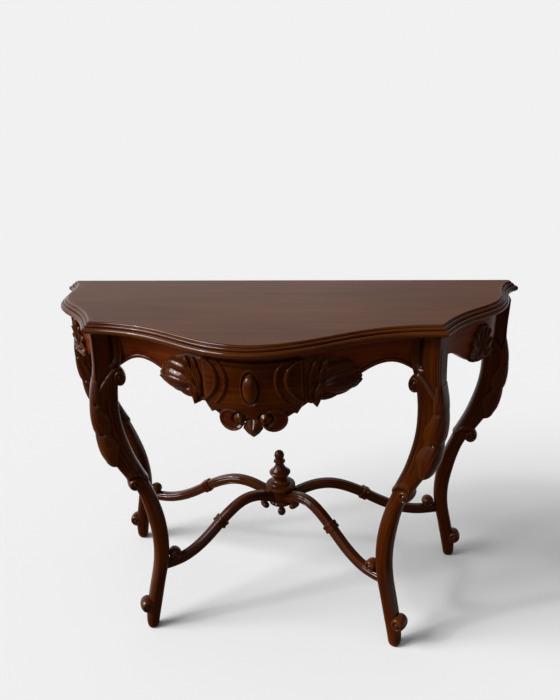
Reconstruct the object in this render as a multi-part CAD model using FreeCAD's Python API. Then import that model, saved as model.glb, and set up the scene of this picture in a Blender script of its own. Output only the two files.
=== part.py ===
import FreeCAD, Part
import math
import os

Vector = FreeCAD.Vector

# A serpentine pier table: moulded top, arched and carved aprons, four S-scroll legs and a turned,
# four-armed stretcher. Millimetres. X is the width, Y runs to the wall, Z is up, and the origin
# lies on the floor under the middle of the table.

# Overall size
table_width = 1150.0
table_depth = 530.0
table_height = 800.0

# Fits and cuts
cut_overrun = 2.0
spigot_clearance = 0.2
tenon_clearance = 0.2

# Top: plan outline as shares of half the width and of the depth, from the bow at the front
top_thickness = 24.0
front_edge_shares = ((0.0, 0.0), (0.219, 0.076), (0.393, 0.190), (0.557, 0.250), (0.670, 0.263))
side_edge_shares = ((0.670, 0.263), (0.722, 0.373), (0.800, 0.480), (0.884, 0.583), (0.926, 0.685),
                    (0.948, 0.800), (0.970, 0.890), (1.0, 0.956))
back_corner_share = 0.985
nosing_height = 13.0
nosing_round = 4.0
step_height = 6.0
step_inset = 8.0
field_inset = 15.0
field_bevel = 3.0

# Front apron: a bowed board with an arched lower edge, as shares of its half span and its depth
front_apron_inset = 42.0
front_apron_thickness = 24.0
front_apron_height = 148.0
front_arch_shares = ((0.0, 1.0), (0.20, 0.98), (0.34, 0.80), (0.54, 0.66), (0.68, 0.50), (0.88, 0.43),
                     (1.0, 0.58))

# Side aprons: bowed boards that drop to a shell in the middle, as shares of their chord and depth
side_apron_inset = 24.0
side_apron_thickness = 20.0
side_apron_height = 108.0
side_arch_shares = ((0.0, 0.54), (0.15, 0.57), (0.36, 0.84), (0.54, 1.0), (0.71, 0.85), (0.89, 0.57), (1.0, 0.54))

# Back rail
back_rail_height = 74.0
back_rail_thickness = 20.0
back_rail_setback = 8.0

# Legs: one pattern for all four. The front posts stand in from the top's front corners, the back posts
# in from its ends and its back edge. Each pair has its own turn, and rakes out of plumb between the top
# and the floor.
leg_swing = 88.0
leg_width = 60.0
leg_depth = 50.0
leg_chamfer_share = 0.30
post_width = 56.0
post_depth = 46.0
post_chamfer = 4.0
post_share = 0.885
front_corner_margin = 29.0
front_corner_setback = 41.0
front_leg_turn = 28.0
front_leg_rake = -118.0
back_end_margin = 54.0
back_edge_setback = 87.0
back_leg_turn = 0.0
back_leg_rake = 26.0

# Stations up a leg: height, swing, width and depth, as shares of the leg's own sizes
leg_station_shares = (
    (0.000, -0.55, 0.44, 0.58), (0.012, -0.56, 0.51, 0.66), (0.060, -0.63, 0.55, 0.70),
    (0.110, -0.71, 0.57, 0.72), (0.170, -0.83, 0.57, 0.72), (0.225, -0.94, 0.60, 0.74),
    (0.285, -1.00, 0.63, 0.76), (0.360, -0.97, 0.66, 0.78), (0.430, -0.86, 0.69, 0.80),
    (0.500, -0.67, 0.73, 0.84), (0.545, -0.49, 0.80, 0.86), (0.600, -0.24, 0.90, 0.90),
    (0.660, -0.04, 0.97, 0.94), (0.720, 0.09, 1.00, 0.97), (0.780, 0.125, 1.00, 1.00),
    (0.840, 0.08, 0.98, 1.00), (0.890, 0.02, 0.92, 0.98))

# Scrolls on each leg: height share, reach from the centre line outwards, radius
knee_scroll_height_share = 0.868
knee_scroll_reach = -21.0
knee_scroll_radius = 17.0
waist_scroll_height_share = 0.528
waist_scroll_reach = 20.0
waist_scroll_radius = 20.0
toe_scroll_height_share = 0.090
toe_scroll_reach = 20.0
toe_scroll_radius = 17.0
scroll_proud = 3.0
scroll_sides = 12

# Acanthus leaf on the outside of each knee: height share and how far it stands proud of the leg
leaf_stand = 8.0
leaf_sink = 12.0
leaf_width_share = 0.72
leaf_station_shares = ((0.890, 0.15), (0.820, 0.45), (0.740, 0.62), (0.670, 0.80), (0.615, 1.0),
                       (0.595, 0.70))

# Stretcher: four S-shaped arms from the legs up to a turned hub
hub_setback = 194.0
turned_sides = 32
hub_radius = 29.0
hub_base_z = 248.0
hub_height = 56.0
hub_ring_radius = 38.0
hub_ring_height = 8.0
hub_step_radius = 29.0
hub_step_height = 6.0
arm_height = 27.0
arm_width = 24.0
arm_chamfer_share = 0.30
arm_leg_z = 170.0
arm_hub_z = 282.0
arm_station_shares = ((0.0, 0.90), (0.09, 1.0), (0.20, 1.03), (0.30, 0.955), (0.40, 0.80), (0.50, 0.585),
                      (0.61, 0.33), (0.71, 0.15), (0.81, 0.035), (0.91, 0.0), (1.0, 0.01))
arm_steps = 11
arm_collar_share = 0.50
arm_collar_length = 16.0
arm_collar_proud = 2.5
arm_knob_radius = 14.0
arm_knob_back = 32.0
arm_knob_rise = 24.0
arm_curl_radius = 9.0
arm_curl_reach = 20.0
arm_curl_drop = 17.0
arm_tenon_width = 10.0
arm_tenon_height = 14.0
arm_tenon_in_leg = 14.0
arm_tenon_in_hub = 9.0
arm_tenon_in_arm = 12.0

# Finial above the hub and drop below it, as radii and heights of a turned profile
finial_height = 98.0
finial_radius = 27.0
finial_profile_shares = ((0.0, 0.78), (0.14, 0.78), (0.14, 0.60), (0.32, 1.0), (0.64, 0.38), (0.64, 0.56),
                         (0.72, 0.56), (0.72, 0.34), (0.77, 0.34), (0.77, 0.46), (0.97, 0.46), (1.0, 0.34))
finial_spigot_radius = 7.0
finial_spigot_length = 20.0
drop_radius = 11.0
drop_height = 24.0
drop_neck_radius = 7.0
drop_neck_height = 16.0
drop_collar_radius = 18.0
drop_collar_height = 8.0
drop_sink = 4.0

# Carved centre of the front apron: a shield with two scrolled lobes, as shares of its half width
# and of its height from the top down
shield_half_width = 99.0
board_flats = 14
shield_height = 150.0
shield_proud = 12.0
shield_top_gap = 18.0
shield_edge_shares = ((1.0, 0.64), (0.86, 0.76), (0.66, 0.73))
lobe_radius = 26.0
lobe_reach = 43.0
lobe_drop_share = 0.84
lobe_turn_shares = (0.08, -0.08, -0.25, -0.42)
pendant_half_width = 20.0
pendant_height = 40.0
pendant_depth = 20.0
pendant_hang_share = 0.36
cabochon_half_width = 19.0
cabochon_half_height = 33.0
cabochon_proud = 13.0
cabochon_drop_share = 0.35
cabochon_level_shares = ((0.0, 1.0), (0.55, 0.84), (1.0, 0.42))
cabochon_sides = 12
cabochon_sink = 3.0
c_scroll_proud = 9.0
c_scroll_inner = 58.0
c_scroll_outer = 96.0
c_scroll_width = 19.0
c_scroll_height = 100.0
c_scroll_bow_shares = (-1.0, -0.67, -0.33, 0.0, 0.33, 0.67, 1.0)

# Flower sprays each side of the shield, as shares of their length and height from the shield out
spray_start = 101.0
spray_length = 112.0
spray_height = 102.0
spray_proud = 11.0
spray_top_gap = 20.0
spray_shares = ((0.0, 0.02), (0.30, 0.0), (0.62, 0.12), (0.90, 0.32), (1.0, 0.52), (0.90, 0.70), (0.62, 0.90),
                (0.30, 0.86), (0.14, 1.0), (0.0, 0.93))
bud_length = 60.0
bud_width = 40.0
bud_proud = 14.0
bud_sink = 4.0
bud_along_share = 0.58
bud_drop_share = 0.52
bud_tilt = -24.0
bud_station_shares = ((-0.5, 0.30), (-0.1, 1.0), (0.1, 1.0), (0.5, 0.30))
bud_section_shares = ((-0.5, 0.0), (-0.28, 1.0), (0.28, 1.0), (0.5, 0.0))

# Shells on the side aprons
shell_width = 92.0
shell_height = 86.0
shell_proud = 9.0
shell_ribs = 5
shell_rib_depth_share = 0.12
shell_top_gap = 16.0

# Rail tenons and the glue blocks under the top
tenon_thickness = 10.0
tenon_in_post = 20.0
tenon_in_rail = 14.0
tenon_shoulder = 12.0
block_length = 60.0
block_side = 26.0
back_block_reach = 330.0
front_block_reach = 150.0

# Worked-out sizes
half_width = table_width / 2
leg_height = table_height - top_thickness
underside = leg_height
front_post_x = half_width * front_edge_shares[-1][0] - front_corner_margin
front_post_y = table_depth * (front_edge_shares[-1][1] - 0.5) + front_corner_setback
back_post_x = half_width - back_end_margin
back_post_y = table_depth / 2 - back_edge_setback
hub_y = table_depth / 2 - hub_setback
crossing_halvings = 50
sew_tolerance = 0.001
Z_AXIS = Vector(0, 0, 1)
X_AXIS = Vector(1, 0, 0)
Y_AXIS = Vector(0, 1, 0)
ORIGIN = Vector(0, 0, 0)

nodes = {}


def mirrored(shape):
    """The same piece for the left-hand side."""
    return shape.mirror(ORIGIN, X_AXIS)


def add_pair(name, right_shape):
    """Keep a right-hand piece and its left-hand mirror image under a name with a side in it."""
    nodes[name.format("right")] = right_shape
    nodes[name.format("left")] = mirrored(right_shape)


def plan_point(share):
    """A point of the top's right-hand outline from its shares."""
    return Vector(share[0] * half_width, (share[1] - 0.5) * table_depth, 0)


def flipped(points):
    """The points of a right-hand run, mirrored and taken the other way round."""
    return [Vector(-p.x, p.y, p.z) for p in reversed(points)]


def spline(points):
    """A smooth curve through points."""
    curve = Part.BSplineCurve()
    curve.interpolate(points)
    return curve


def inset_run(points, inset):
    """A smooth run moved to its left, square to itself, with the directions at its two ends."""
    if len(points) == 2:
        direction = (points[1] - points[0]).normalize()
        tangents = [direction, direction]
    else:
        curve = spline(points)
        tangents = [curve.tangent(curve.parameter(p))[0] for p in points]
    normals = [Vector(-t.y, t.x, 0) for t in tangents]
    return [p + n * inset for p, n in zip(points, normals)], normals


def outline_runs():
    """The runs of the top's outline, anticlockwise from the left front corner."""
    front_half = [plan_point(s) for s in front_edge_shares]
    side = [plan_point(s) for s in side_edge_shares]
    corner = plan_point((back_corner_share, 1.0))
    ear = [side[-1], corner]
    back = [corner, Vector(-corner.x, corner.y, 0)]
    front = flipped(front_half)[:-1] + front_half
    return [front, side, ear, back, flipped(ear), flipped(side)]


def outline_wire(inset, height):
    """The top's outline drawn in by an inset at a height, with mitred corners."""
    runs = outline_runs()
    moved = []
    ends = []
    for run in runs:
        points, normals = inset_run(run, inset)
        moved.append(points)
        ends.append((normals[0], normals[-1]))
    for index, points in enumerate(moved):
        before = ends[index - 1][1]
        after = ends[index][0]
        mitre = runs[index][0] + (before + after) * (inset / (1 + before.dot(after)))
        points[0] = mitre
        moved[index - 1][-1] = mitre
    edges = []
    for points in moved:
        lifted = [Vector(p.x, p.y, height) for p in points]
        if len(lifted) == 2:
            edges.append(Part.LineSegment(lifted[0], lifted[1]).toShape())
        else:
            edges.append(spline(lifted).toShape())
    return Part.Wire(edges)


def make_top():
    """The top: a nosing, a small step and a raised field, lofted through drawn-in outlines."""
    nosing_top = underside + nosing_height
    step_top = nosing_top + step_height
    levels = (
        (nosing_round, underside),
        (0, underside + nosing_round),
        (0, nosing_top - nosing_round),
        (nosing_round, nosing_top),
        (step_inset, nosing_top),
        (step_inset, step_top),
        (field_inset, step_top),
        (field_inset, table_height - field_bevel),
        (field_inset + field_bevel, table_height))
    return Part.makeLoft([outline_wire(inset, z) for inset, z in levels], True, True)


def section_wire(centre, across, along, width, depth, chamfer_share):
    """A four-sided section with its corners taken off: width lies across, depth lies along."""
    flat = 1 - chamfer_share
    shares = ((1, -flat), (1, flat), (flat, 1), (-flat, 1), (-1, flat), (-1, -flat), (-flat, -1), (flat, -1))
    points = [centre + across * (a * width / 2) + along * (b * depth / 2) for a, b in shares]
    return Part.makePolygon(points + points[:1])


def disc(radius, length, centre, axis):
    """A scroll end drawn with flats, centred on a point, with a level axis."""
    ring = oval_ring(centre - axis * (length / 2), axis.cross(Z_AXIS), Z_AXIS, radius, radius, scroll_sides)
    return Part.Face(Part.makePolygon(ring + ring[:1])).extrude(axis * length)


class Leg:
    """One leg pattern, set at a post with a turn and a rake."""

    def __init__(self, post_x, post_y, turn, rake):
        self.post = Vector(post_x, post_y, 0)
        self.out = Vector(math.cos(math.radians(turn)), -math.sin(math.radians(turn)), 0)
        self.across = Vector(-self.out.y, self.out.x, 0)
        self.rake = rake

    def centre(self, height_share, swing_share):
        """The centre line at a height."""
        lean = Vector(0, self.rake * (1 - height_share), leg_height * height_share)
        return self.post + self.out * (leg_swing * swing_share) + lean

    def station(self, height_share):
        """Swing, width and depth shares at any height, between the listed stations."""
        table = leg_station_shares
        for low, high in zip(table, table[1:]):
            if low[0] <= height_share <= high[0]:
                t = (height_share - low[0]) / (high[0] - low[0])
                return [a + (b - a) * t for a, b in zip(low[1:], high[1:])]
        return list(table[-1][1:])

    def at(self, height_share, reach):
        """A point at a height, a reach outwards from the centre line."""
        return self.centre(height_share, self.station(height_share)[0]) + self.out * reach

    def limb(self):
        """The S-shaped limb, lofted through its stations."""
        wires = []
        for height, swing, width, depth in leg_station_shares:
            wires.append(section_wire(self.centre(height, swing), self.out, self.across,
                                      leg_width * width, leg_depth * depth, leg_chamfer_share))
        return Part.makeLoft(wires, True, True)

    def post_block(self):
        """The square post that the aprons join."""
        foot = self.centre(1.0, 0.0)
        foot.z = leg_height * post_share
        points = []
        for a, b in ((1, 1), (-1, 1), (-1, -1), (1, -1)):
            corner = foot + self.out * (a * post_width / 2) + self.across * (b * post_depth / 2)
            cuts = [corner - self.out * (a * post_chamfer), corner - self.across * (b * post_chamfer)]
            points += cuts if a * b < 0 else reversed(cuts)
        face = Part.Face(Part.makePolygon(points + points[:1]))
        return face.extrude(Z_AXIS * (leg_height - foot.z))

    def scroll(self, height_share, reach, radius):
        """A round scroll end across the leg, proud of both its faces."""
        length = leg_depth * self.station(height_share)[2] + 2 * scroll_proud
        return disc(radius, length, self.at(height_share, reach), self.across)

    def leaf(self):
        """The leaf laid down the outside of the knee, ending in a proud tip."""
        wires = []
        for height, stand in leaf_station_shares:
            swing, width, depth = self.station(height)
            thickness = leaf_sink + leaf_stand * stand
            reach = leg_width * width / 2 - leaf_sink + thickness / 2
            breadth = leg_depth * depth * leaf_width_share
            wires.append(section_wire(self.at(height, reach), self.out, self.across, thickness, breadth,
                                      leg_chamfer_share))
        return Part.makeLoft(wires, True, True)

    def solid(self):
        """The whole leg as one piece."""
        pieces = [
            self.post_block(),
            self.scroll(knee_scroll_height_share, knee_scroll_reach, knee_scroll_radius),
            self.scroll(waist_scroll_height_share, waist_scroll_reach, waist_scroll_radius),
            self.scroll(toe_scroll_height_share, toe_scroll_reach, toe_scroll_radius),
            self.leaf()]
        return self.limb().fuse(pieces).removeSplitter()

    def beyond(self, axis, distance):
        """A large block on the far side of a post face, to trim a rail that ends there."""
        side = Vector(-axis.y, axis.x, 0)
        reach = table_width
        corner = self.post + axis * distance - side * (reach / 2) - Z_AXIS * cut_overrun
        points = [corner, corner + side * reach, corner + side * reach + axis * reach, corner + axis * reach]
        face = Part.Face(Part.makePolygon(points + points[:1]))
        return face.extrude(Z_AXIS * (table_height + 2 * cut_overrun))


front_leg = Leg(front_post_x, front_post_y, front_leg_turn, front_leg_rake)
back_leg = Leg(back_post_x, back_post_y, back_leg_turn, back_leg_rake)
front_run, side_run = outline_runs()[:2]


def band(run, outer_inset, thickness, low, high, flats=0):
    """An upright board that follows an outline run, between two insets and two heights.

    With flats, its outer face is that many flat strips.
    """
    outer = [Vector(p.x, p.y, low) for p in inset_run(run, outer_inset)[0]]
    inner = [Vector(p.x, p.y, low) for p in inset_run(run, outer_inset + thickness)[0]]
    front = spline(outer).toShape()
    if flats:
        front = Part.makePolygon(front.discretize(flats + 1))
    edges = front.Edges + [
        Part.LineSegment(outer[-1], inner[-1]).toShape(),
        spline(list(reversed(inner))).toShape(),
        Part.LineSegment(inner[0], outer[0]).toShape()]
    return Part.Face(Part.Wire(edges)).extrude(Z_AXIS * (high - low))


def mid_crossing(run, inset, post, axis, distance):
    """Where a board's middle line crosses the plane of a post face."""
    curve = spline(inset_run(run, inset)[0])
    low, high = curve.FirstParameter, curve.LastParameter
    start_sign = (curve.value(low) - post).dot(axis) > distance
    for _ in range(crossing_halvings):
        middle = (low + high) / 2
        if ((curve.value(middle) - post).dot(axis) > distance) == start_sign:
            low = middle
        else:
            high = middle
    return curve.value(low)


def bar_tenon(start, axis, length, thickness, height, clearance):
    """A tenon that stands on the point start and runs along an axis, larger all round by a clearance."""
    side = Vector(-axis.y, axis.x, 0)
    corner = start - side * (thickness / 2 + clearance) - Z_AXIS * clearance
    wide = side * (thickness + 2 * clearance)
    long = axis * (length + clearance)
    points = [corner, corner + wide, corner + wide + long, corner + long]
    return Part.Face(Part.makePolygon(points + points[:1])).extrude(Z_AXIS * (height + 2 * clearance))


def tenon(point, axis, low, clearance):
    """A tenon on a rail's end; axis points into the post, and clearance makes its mortise."""
    start = point - axis * tenon_in_rail + Z_AXIS * (low + tenon_shoulder)
    return bar_tenon(start, axis, tenon_in_rail + tenon_in_post, tenon_thickness,
                     underside - low - 2 * tenon_shoulder, clearance)


def arch_cutter(points, far_low, depth_vector, start_shift):
    """A prism under a curved lower edge; points run along the edge."""
    curve = spline([p + start_shift for p in points])
    first, last = points[0] + start_shift, points[-1] + start_shift
    low_first = Vector(first.x, first.y, far_low)
    low_last = Vector(last.x, last.y, far_low)
    edges = [
        curve.toShape(),
        Part.LineSegment(last, low_last).toShape(),
        Part.LineSegment(low_last, low_first).toShape(),
        Part.LineSegment(low_first, first).toShape()]
    return Part.Face(Part.Wire(edges)).extrude(depth_vector)


def make_front_apron():
    """The bowed front board with its arched lower edge, trimmed at the front posts."""
    low = underside - front_apron_height
    board = band(front_run, front_apron_inset, front_apron_thickness, low, underside)
    trim = front_leg.beyond(front_leg.out, -post_width / 2)
    board = board.cut(trim).cut(mirrored(trim))
    span = front_post_x - post_width / 2
    right = [Vector(x * span, 0, underside - front_apron_height * z) for x, z in front_arch_shares]
    ends = Vector(front_post_x + post_width, 0, right[-1].z)
    points = [Vector(-ends.x, 0, ends.z)] + flipped(right)[:-1] + right + [ends]
    shift = Vector(0, -table_depth, 0)
    return board.cut(arch_cutter(points, low - front_apron_height, Vector(0, 2 * table_depth, 0), shift))


def side_chord():
    """The chord of the right side apron: its start, its unit direction and its length."""
    start = mid_crossing(side_run, side_apron_inset + side_apron_thickness / 2, front_leg.post,
                         front_leg.across, post_depth / 2)
    end = mid_crossing(side_run, side_apron_inset + side_apron_thickness / 2, back_leg.post,
                       back_leg.across, -post_depth / 2)
    chord = end - start
    return start, end, chord


def make_side_apron():
    """The right side board between the front and back posts, dropped in the middle."""
    low = underside - side_apron_height
    board = band(side_run, side_apron_inset, side_apron_thickness, low, underside)
    front_trim = front_leg.beyond(front_leg.across * -1, -post_depth / 2)
    back_trim = back_leg.beyond(back_leg.across, -post_depth / 2)
    board = board.cut(front_trim).cut(back_trim)
    start, end, chord = side_chord()
    overshoot = chord * (side_apron_thickness / chord.Length)
    points = [start + chord * a + Z_AXIS * (underside - side_apron_height * z) for a, z in side_arch_shares]
    points = [points[0] - overshoot] + points + [points[-1] + overshoot]
    outward = Vector(chord.y, -chord.x, 0).normalize()
    cutter = arch_cutter(points, low - side_apron_height, outward * (table_depth), outward * (-table_depth / 2))
    return board.cut(cutter)


def make_back_rail():
    """The plain rail along the wall side, between the inner faces of the back posts."""
    length = 2 * (back_post_x - post_width / 2)
    y = back_post_y + back_rail_setback - back_rail_thickness / 2
    corner = Vector(-length / 2, y, underside - back_rail_height)
    return Part.makeBox(length, back_rail_thickness, back_rail_height, corner)


class Arm:
    """One stretcher arm from the hub to a leg, an S in its own upright plane."""

    def __init__(self, leg):
        height_share = arm_leg_z / leg_height
        target = leg.at(height_share, 0)
        hub = Vector(0, hub_y, 0)
        run = Vector(target.x, target.y - hub_y, 0)
        self.length = run.Length
        self.leg_half = leg_width * leg.station(height_share)[1] / 2
        self.hub = hub
        self.along = run.normalize()
        self.side = Vector(-self.along.y, self.along.x, 0)

    def point(self, along_share, rise_share):
        """A point of the centre line."""
        height = arm_leg_z + (arm_hub_z - arm_leg_z) * rise_share
        return self.hub + self.along * (self.length * along_share) + Z_AXIS * height

    def curve(self):
        """The centre line as a smooth curve."""
        return spline([self.point(a, r) for a, r in arm_station_shares])

    def bar(self):
        """The moulded bar, lofted through sections square to its centre line."""
        curve = self.curve()
        first, last = curve.FirstParameter, curve.LastParameter
        wires = []
        for step in range(arm_steps + 1):
            place = first + (last - first) * step / arm_steps
            upward = self.side.cross(curve.tangent(place)[0]) * -1
            wires.append(section_wire(curve.value(place), self.side, upward, arm_width, arm_height,
                                      arm_chamfer_share))
        return Part.makeLoft(wires, True, True)

    def collar(self):
        """The stepped collar half way along."""
        curve = self.curve()
        low, high = curve.FirstParameter, curve.LastParameter
        centre = curve.value(low + (high - low) * arm_collar_share)
        tangent = curve.tangent(curve.parameter(centre))[0]
        upward = self.side.cross(tangent) * -1
        width = arm_width + 2 * arm_collar_proud
        height = arm_height + 2 * arm_collar_proud
        wire = section_wire(centre - tangent * (arm_collar_length / 2), self.side, upward, width, height,
                            arm_chamfer_share)
        return Part.Face(wire).extrude(tangent * arm_collar_length)

    def tenons(self, clearance):
        """Stub tenons into the leg and into the hub, or their mortises with a clearance."""
        drop = Z_AXIS * (arm_tenon_height / 2)
        leg_start = self.point(1.0, 0) - self.along * (self.leg_half + arm_tenon_in_arm) - drop
        hub_start = self.point(0, 1.0) + self.along * (hub_radius + arm_tenon_in_arm) - drop
        sizes = (arm_tenon_width, arm_tenon_height, clearance)
        return [
            bar_tenon(leg_start, self.along, arm_tenon_in_arm + arm_tenon_in_leg, *sizes),
            bar_tenon(hub_start, self.along * -1, arm_tenon_in_arm + arm_tenon_in_hub, *sizes)]

    def solid(self, leg_solid, hub_solid):
        """The arm with its collar, the knob beside the leg and the curl beside the hub."""
        length = arm_width + 2 * arm_collar_proud
        knob_at = self.point(1.0, 0) - self.along * arm_knob_back + Z_AXIS * arm_knob_rise
        curl_at = self.point(0, 1.0) + self.along * (hub_radius + arm_curl_reach) - Z_AXIS * arm_curl_drop
        knob = disc(arm_knob_radius, length, knob_at, self.side)
        curl = disc(arm_curl_radius, length, curl_at, self.side)
        whole = self.bar().fuse([self.collar(), knob, curl])
        return largest(whole.cut(leg_solid).cut(hub_solid))


def largest(shape):
    """The largest solid of a cut piece."""
    return max(shape.Solids, key=lambda s: s.Volume)


def faceted(rings):
    """A solid with flat sides between rings of points, each ring a larger or smaller copy of the last."""
    faces = [Part.Face(Part.makePolygon(ring + ring[:1])) for ring in (rings[0], rings[-1])]
    for near, far in zip(rings, rings[1:]):
        for side in range(len(near)):
            corners = [near[side - 1], near[side], far[side], far[side - 1]]
            faces.append(Part.Face(Part.makePolygon(corners + corners[:1])))
    solid = Part.Solid(Part.makeShell(faces))
    solid.fix(sew_tolerance, sew_tolerance, sew_tolerance)
    return solid


def oval_ring(centre, across, along, half_width, half_height, sides):
    """Points spaced round an oval that lies along two directions."""
    points = []
    for side in range(sides):
        angle = 2 * math.pi * side / sides
        points.append(centre + across * (half_width * math.cos(angle)) + along * (half_height * math.sin(angle)))
    return points


def turned(profile):
    """A turning about the hub's axis, drawn with flats, from radius and height pairs from the bottom up."""
    return faceted([oval_ring(Vector(0, hub_y, z), X_AXIS, Y_AXIS, r, r, turned_sides) for r, z in profile])


def make_hub():
    """The turned hub with a ring and a step at its head, bored for the finial's spigot and the drop."""
    top = hub_base_z + hub_height
    step = top - hub_step_height
    ring = step - hub_ring_height
    hub = turned((
        (hub_radius, hub_base_z), (hub_radius, ring), (hub_ring_radius, ring), (hub_ring_radius, step),
        (hub_step_radius, step), (hub_step_radius, top)))
    bore = Part.makeCylinder(finial_spigot_radius + spigot_clearance, finial_spigot_length + cut_overrun,
                             Vector(0, hub_y, top - finial_spigot_length), Z_AXIS)
    socket = Part.makeCylinder(drop_neck_radius + spigot_clearance, drop_sink + cut_overrun,
                               Vector(0, hub_y, hub_base_z - cut_overrun), Z_AXIS)
    return hub.cut(bore).cut(socket)


def make_finial():
    """The turned finial: flared base, waist, collar and bead, with a spigot below."""
    base = hub_base_z + hub_height
    profile = [(finial_spigot_radius, base - finial_spigot_length), (finial_spigot_radius, base)]
    profile += [(finial_radius * r, base + finial_height * h) for h, r in finial_profile_shares]
    return turned(profile)


def make_drop():
    """The bead under the hub, let into it by its neck."""
    collar_low = hub_base_z - drop_collar_height
    bead_high = collar_low - drop_neck_height
    bead_low = bead_high - drop_height
    return turned((
        (drop_neck_radius, bead_low), (drop_radius, bead_low + drop_height / 2), (drop_neck_radius, bead_high),
        (drop_neck_radius, collar_low), (drop_collar_radius, collar_low), (drop_collar_radius, hub_base_z),
        (drop_neck_radius, hub_base_z), (drop_neck_radius, hub_base_z + drop_sink)))


def front_prism(points_wire):
    """A flat outline in the front plane, carried right through the table from front to back."""
    face = Part.Face(points_wire)
    face.translate(Vector(0, -table_depth, 0))
    return face.extrude(Vector(0, 2 * table_depth, 0))


def make_shield():
    """The shield: a board on the apron's face, notched at the sides and ending in two round lobes."""
    top = underside - shield_top_gap
    face_band = band(front_run, front_apron_inset - shield_proud, shield_proud, top - shield_height, top,
                     board_flats)
    right = [Vector(x * shield_half_width, 0, top - shield_height * z) for x, z in shield_edge_shares]
    lobe_z = top - shield_height * lobe_drop_share
    lobe = []
    for turn in lobe_turn_shares:
        angle = 2 * math.pi * turn
        lobe.append(Vector(lobe_reach + lobe_radius * math.cos(angle), 0, lobe_z + lobe_radius * math.sin(angle)))
    corners = [Vector(shield_half_width, 0, top)] + right + lobe
    outline = corners + flipped(corners)
    return largest(face_band.common(front_prism(Part.makePolygon(outline + outline[:1]))))


def bow_y(inset):
    """The front-to-back place of the bow's middle, drawn in by an inset."""
    return inset - table_depth / 2


def make_cabochon():
    """The oval boss in the middle of the shield, let into it and stepped in through smaller ovals."""
    face_y = bow_y(front_apron_inset - shield_proud)
    z = underside - shield_top_gap - shield_height * cabochon_drop_share
    levels = [(cabochon_sink, 1)] + [(-cabochon_proud * proud, size) for proud, size in cabochon_level_shares]
    rings = []
    for reach, size in levels:
        rings.append(oval_ring(Vector(0, face_y + reach, z), X_AXIS, Z_AXIS, cabochon_half_width * size,
                               cabochon_half_height * size, cabochon_sides))
    return faceted(rings)


def make_pendant(shield):
    """The bud that hangs between the two lobes."""
    low = underside - shield_top_gap - shield_height - pendant_height * pendant_hang_share
    points = [
        Vector(0, 0, low), Vector(pendant_half_width, 0, low + pendant_height / 2),
        Vector(pendant_half_width / 2, 0, low + pendant_height),
        Vector(-pendant_half_width / 2, 0, low + pendant_height),
        Vector(-pendant_half_width, 0, low + pendant_height / 2)]
    face = Part.Face(Part.makePolygon(points + points[:1]))
    front = bow_y(front_apron_inset - shield_proud) - (pendant_depth - shield_proud) / 2
    face.translate(Vector(0, front, 0))
    return largest(face.extrude(Vector(0, pendant_depth, 0)).cut(shield.fuse(nodes["front_apron"])))


def make_c_scroll():
    """The right C-shaped ridge on the shield's edge, bowed towards the middle."""
    top = underside - shield_top_gap
    middle = top - c_scroll_height / 2
    face_band = band(front_run, front_apron_inset - shield_proud - c_scroll_proud, c_scroll_proud,
                     top - c_scroll_height, top)
    bow = c_scroll_outer - c_scroll_inner
    inner = []
    for share in c_scroll_bow_shares:
        inner.append(Vector(c_scroll_inner + bow * share ** 2, 0, middle + c_scroll_height * share / 2))
    outer = [p + Vector(c_scroll_width, 0, 0) for p in reversed(inner)]
    wire = Part.makePolygon(inner + outer + inner[:1])
    clip = Part.makeBox(shield_half_width, 2 * table_depth, table_height, Vector(0, -table_depth, 0))
    return largest(face_band.common(front_prism(wire)).common(clip))


def make_spray():
    """The right spray: a leafy board on the apron's face with a large bud on it."""
    top = underside - spray_top_gap
    face_band = band(front_run, front_apron_inset - spray_proud, spray_proud, top - spray_height, top)
    points = [Vector(spray_start + a * spray_length, 0, top - d * spray_height) for a, d in spray_shares]
    board = largest(face_band.common(front_prism(Part.makePolygon(points + points[:1]))))
    x = spray_start + spray_length * bud_along_share
    curve = spline(inset_run(front_run, front_apron_inset - spray_proud)[0])
    on_face = curve.value(curve.parameter(Vector(x, bow_y(front_apron_inset), 0)))
    tangent = curve.tangent(curve.parameter(on_face))[0]
    tilt = math.radians(bud_tilt)
    along = tangent * math.cos(tilt) + Z_AXIS * math.sin(tilt)
    across = Z_AXIS * math.cos(tilt) - tangent * math.sin(tilt)
    centre = Vector(on_face.x, on_face.y, top - spray_height * bud_drop_share)
    outward = along.cross(across)
    rings = []
    for place, size in bud_station_shares:
        at = centre + along * (bud_length * place) - outward * bud_sink
        rings.append([at + (across * (bud_width * a) + outward * ((bud_sink + bud_proud) * b)) * size
                      for a, b in bud_section_shares])
    return largest(board.fuse(faceted(rings)))


def make_shell():
    """The fluted shell in the middle of the right side apron."""
    start, end, chord = side_chord()
    curve = spline(inset_run(side_run, side_apron_inset)[0])
    middle = curve.value(curve.parameter(start + chord / 2))
    tangent = curve.tangent(curve.parameter(middle))[0]
    outward = Vector(tangent.y, -tangent.x, 0)
    top = underside - shell_top_gap
    root = Vector(middle.x, middle.y, top)
    points = []
    for step in range(2 * shell_ribs + 1):
        angle = math.pi * step / (2 * shell_ribs)
        reach = 1 - shell_rib_depth_share * (step % 2 == 0)
        points.append(root + tangent * (math.cos(angle) * reach * shell_width / 2)
                      - Z_AXIS * (math.sin(angle) * reach * shell_height))
    face = Part.Face(Part.makePolygon(points + points[:1]))
    face.translate(outward * (-shell_proud))
    prism = face.extrude(outward * (3 * shell_proud))
    face_band = band(side_run, side_apron_inset - shell_proud, shell_proud, top - shell_height, top, board_flats)
    return largest(face_band.common(prism))


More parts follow.
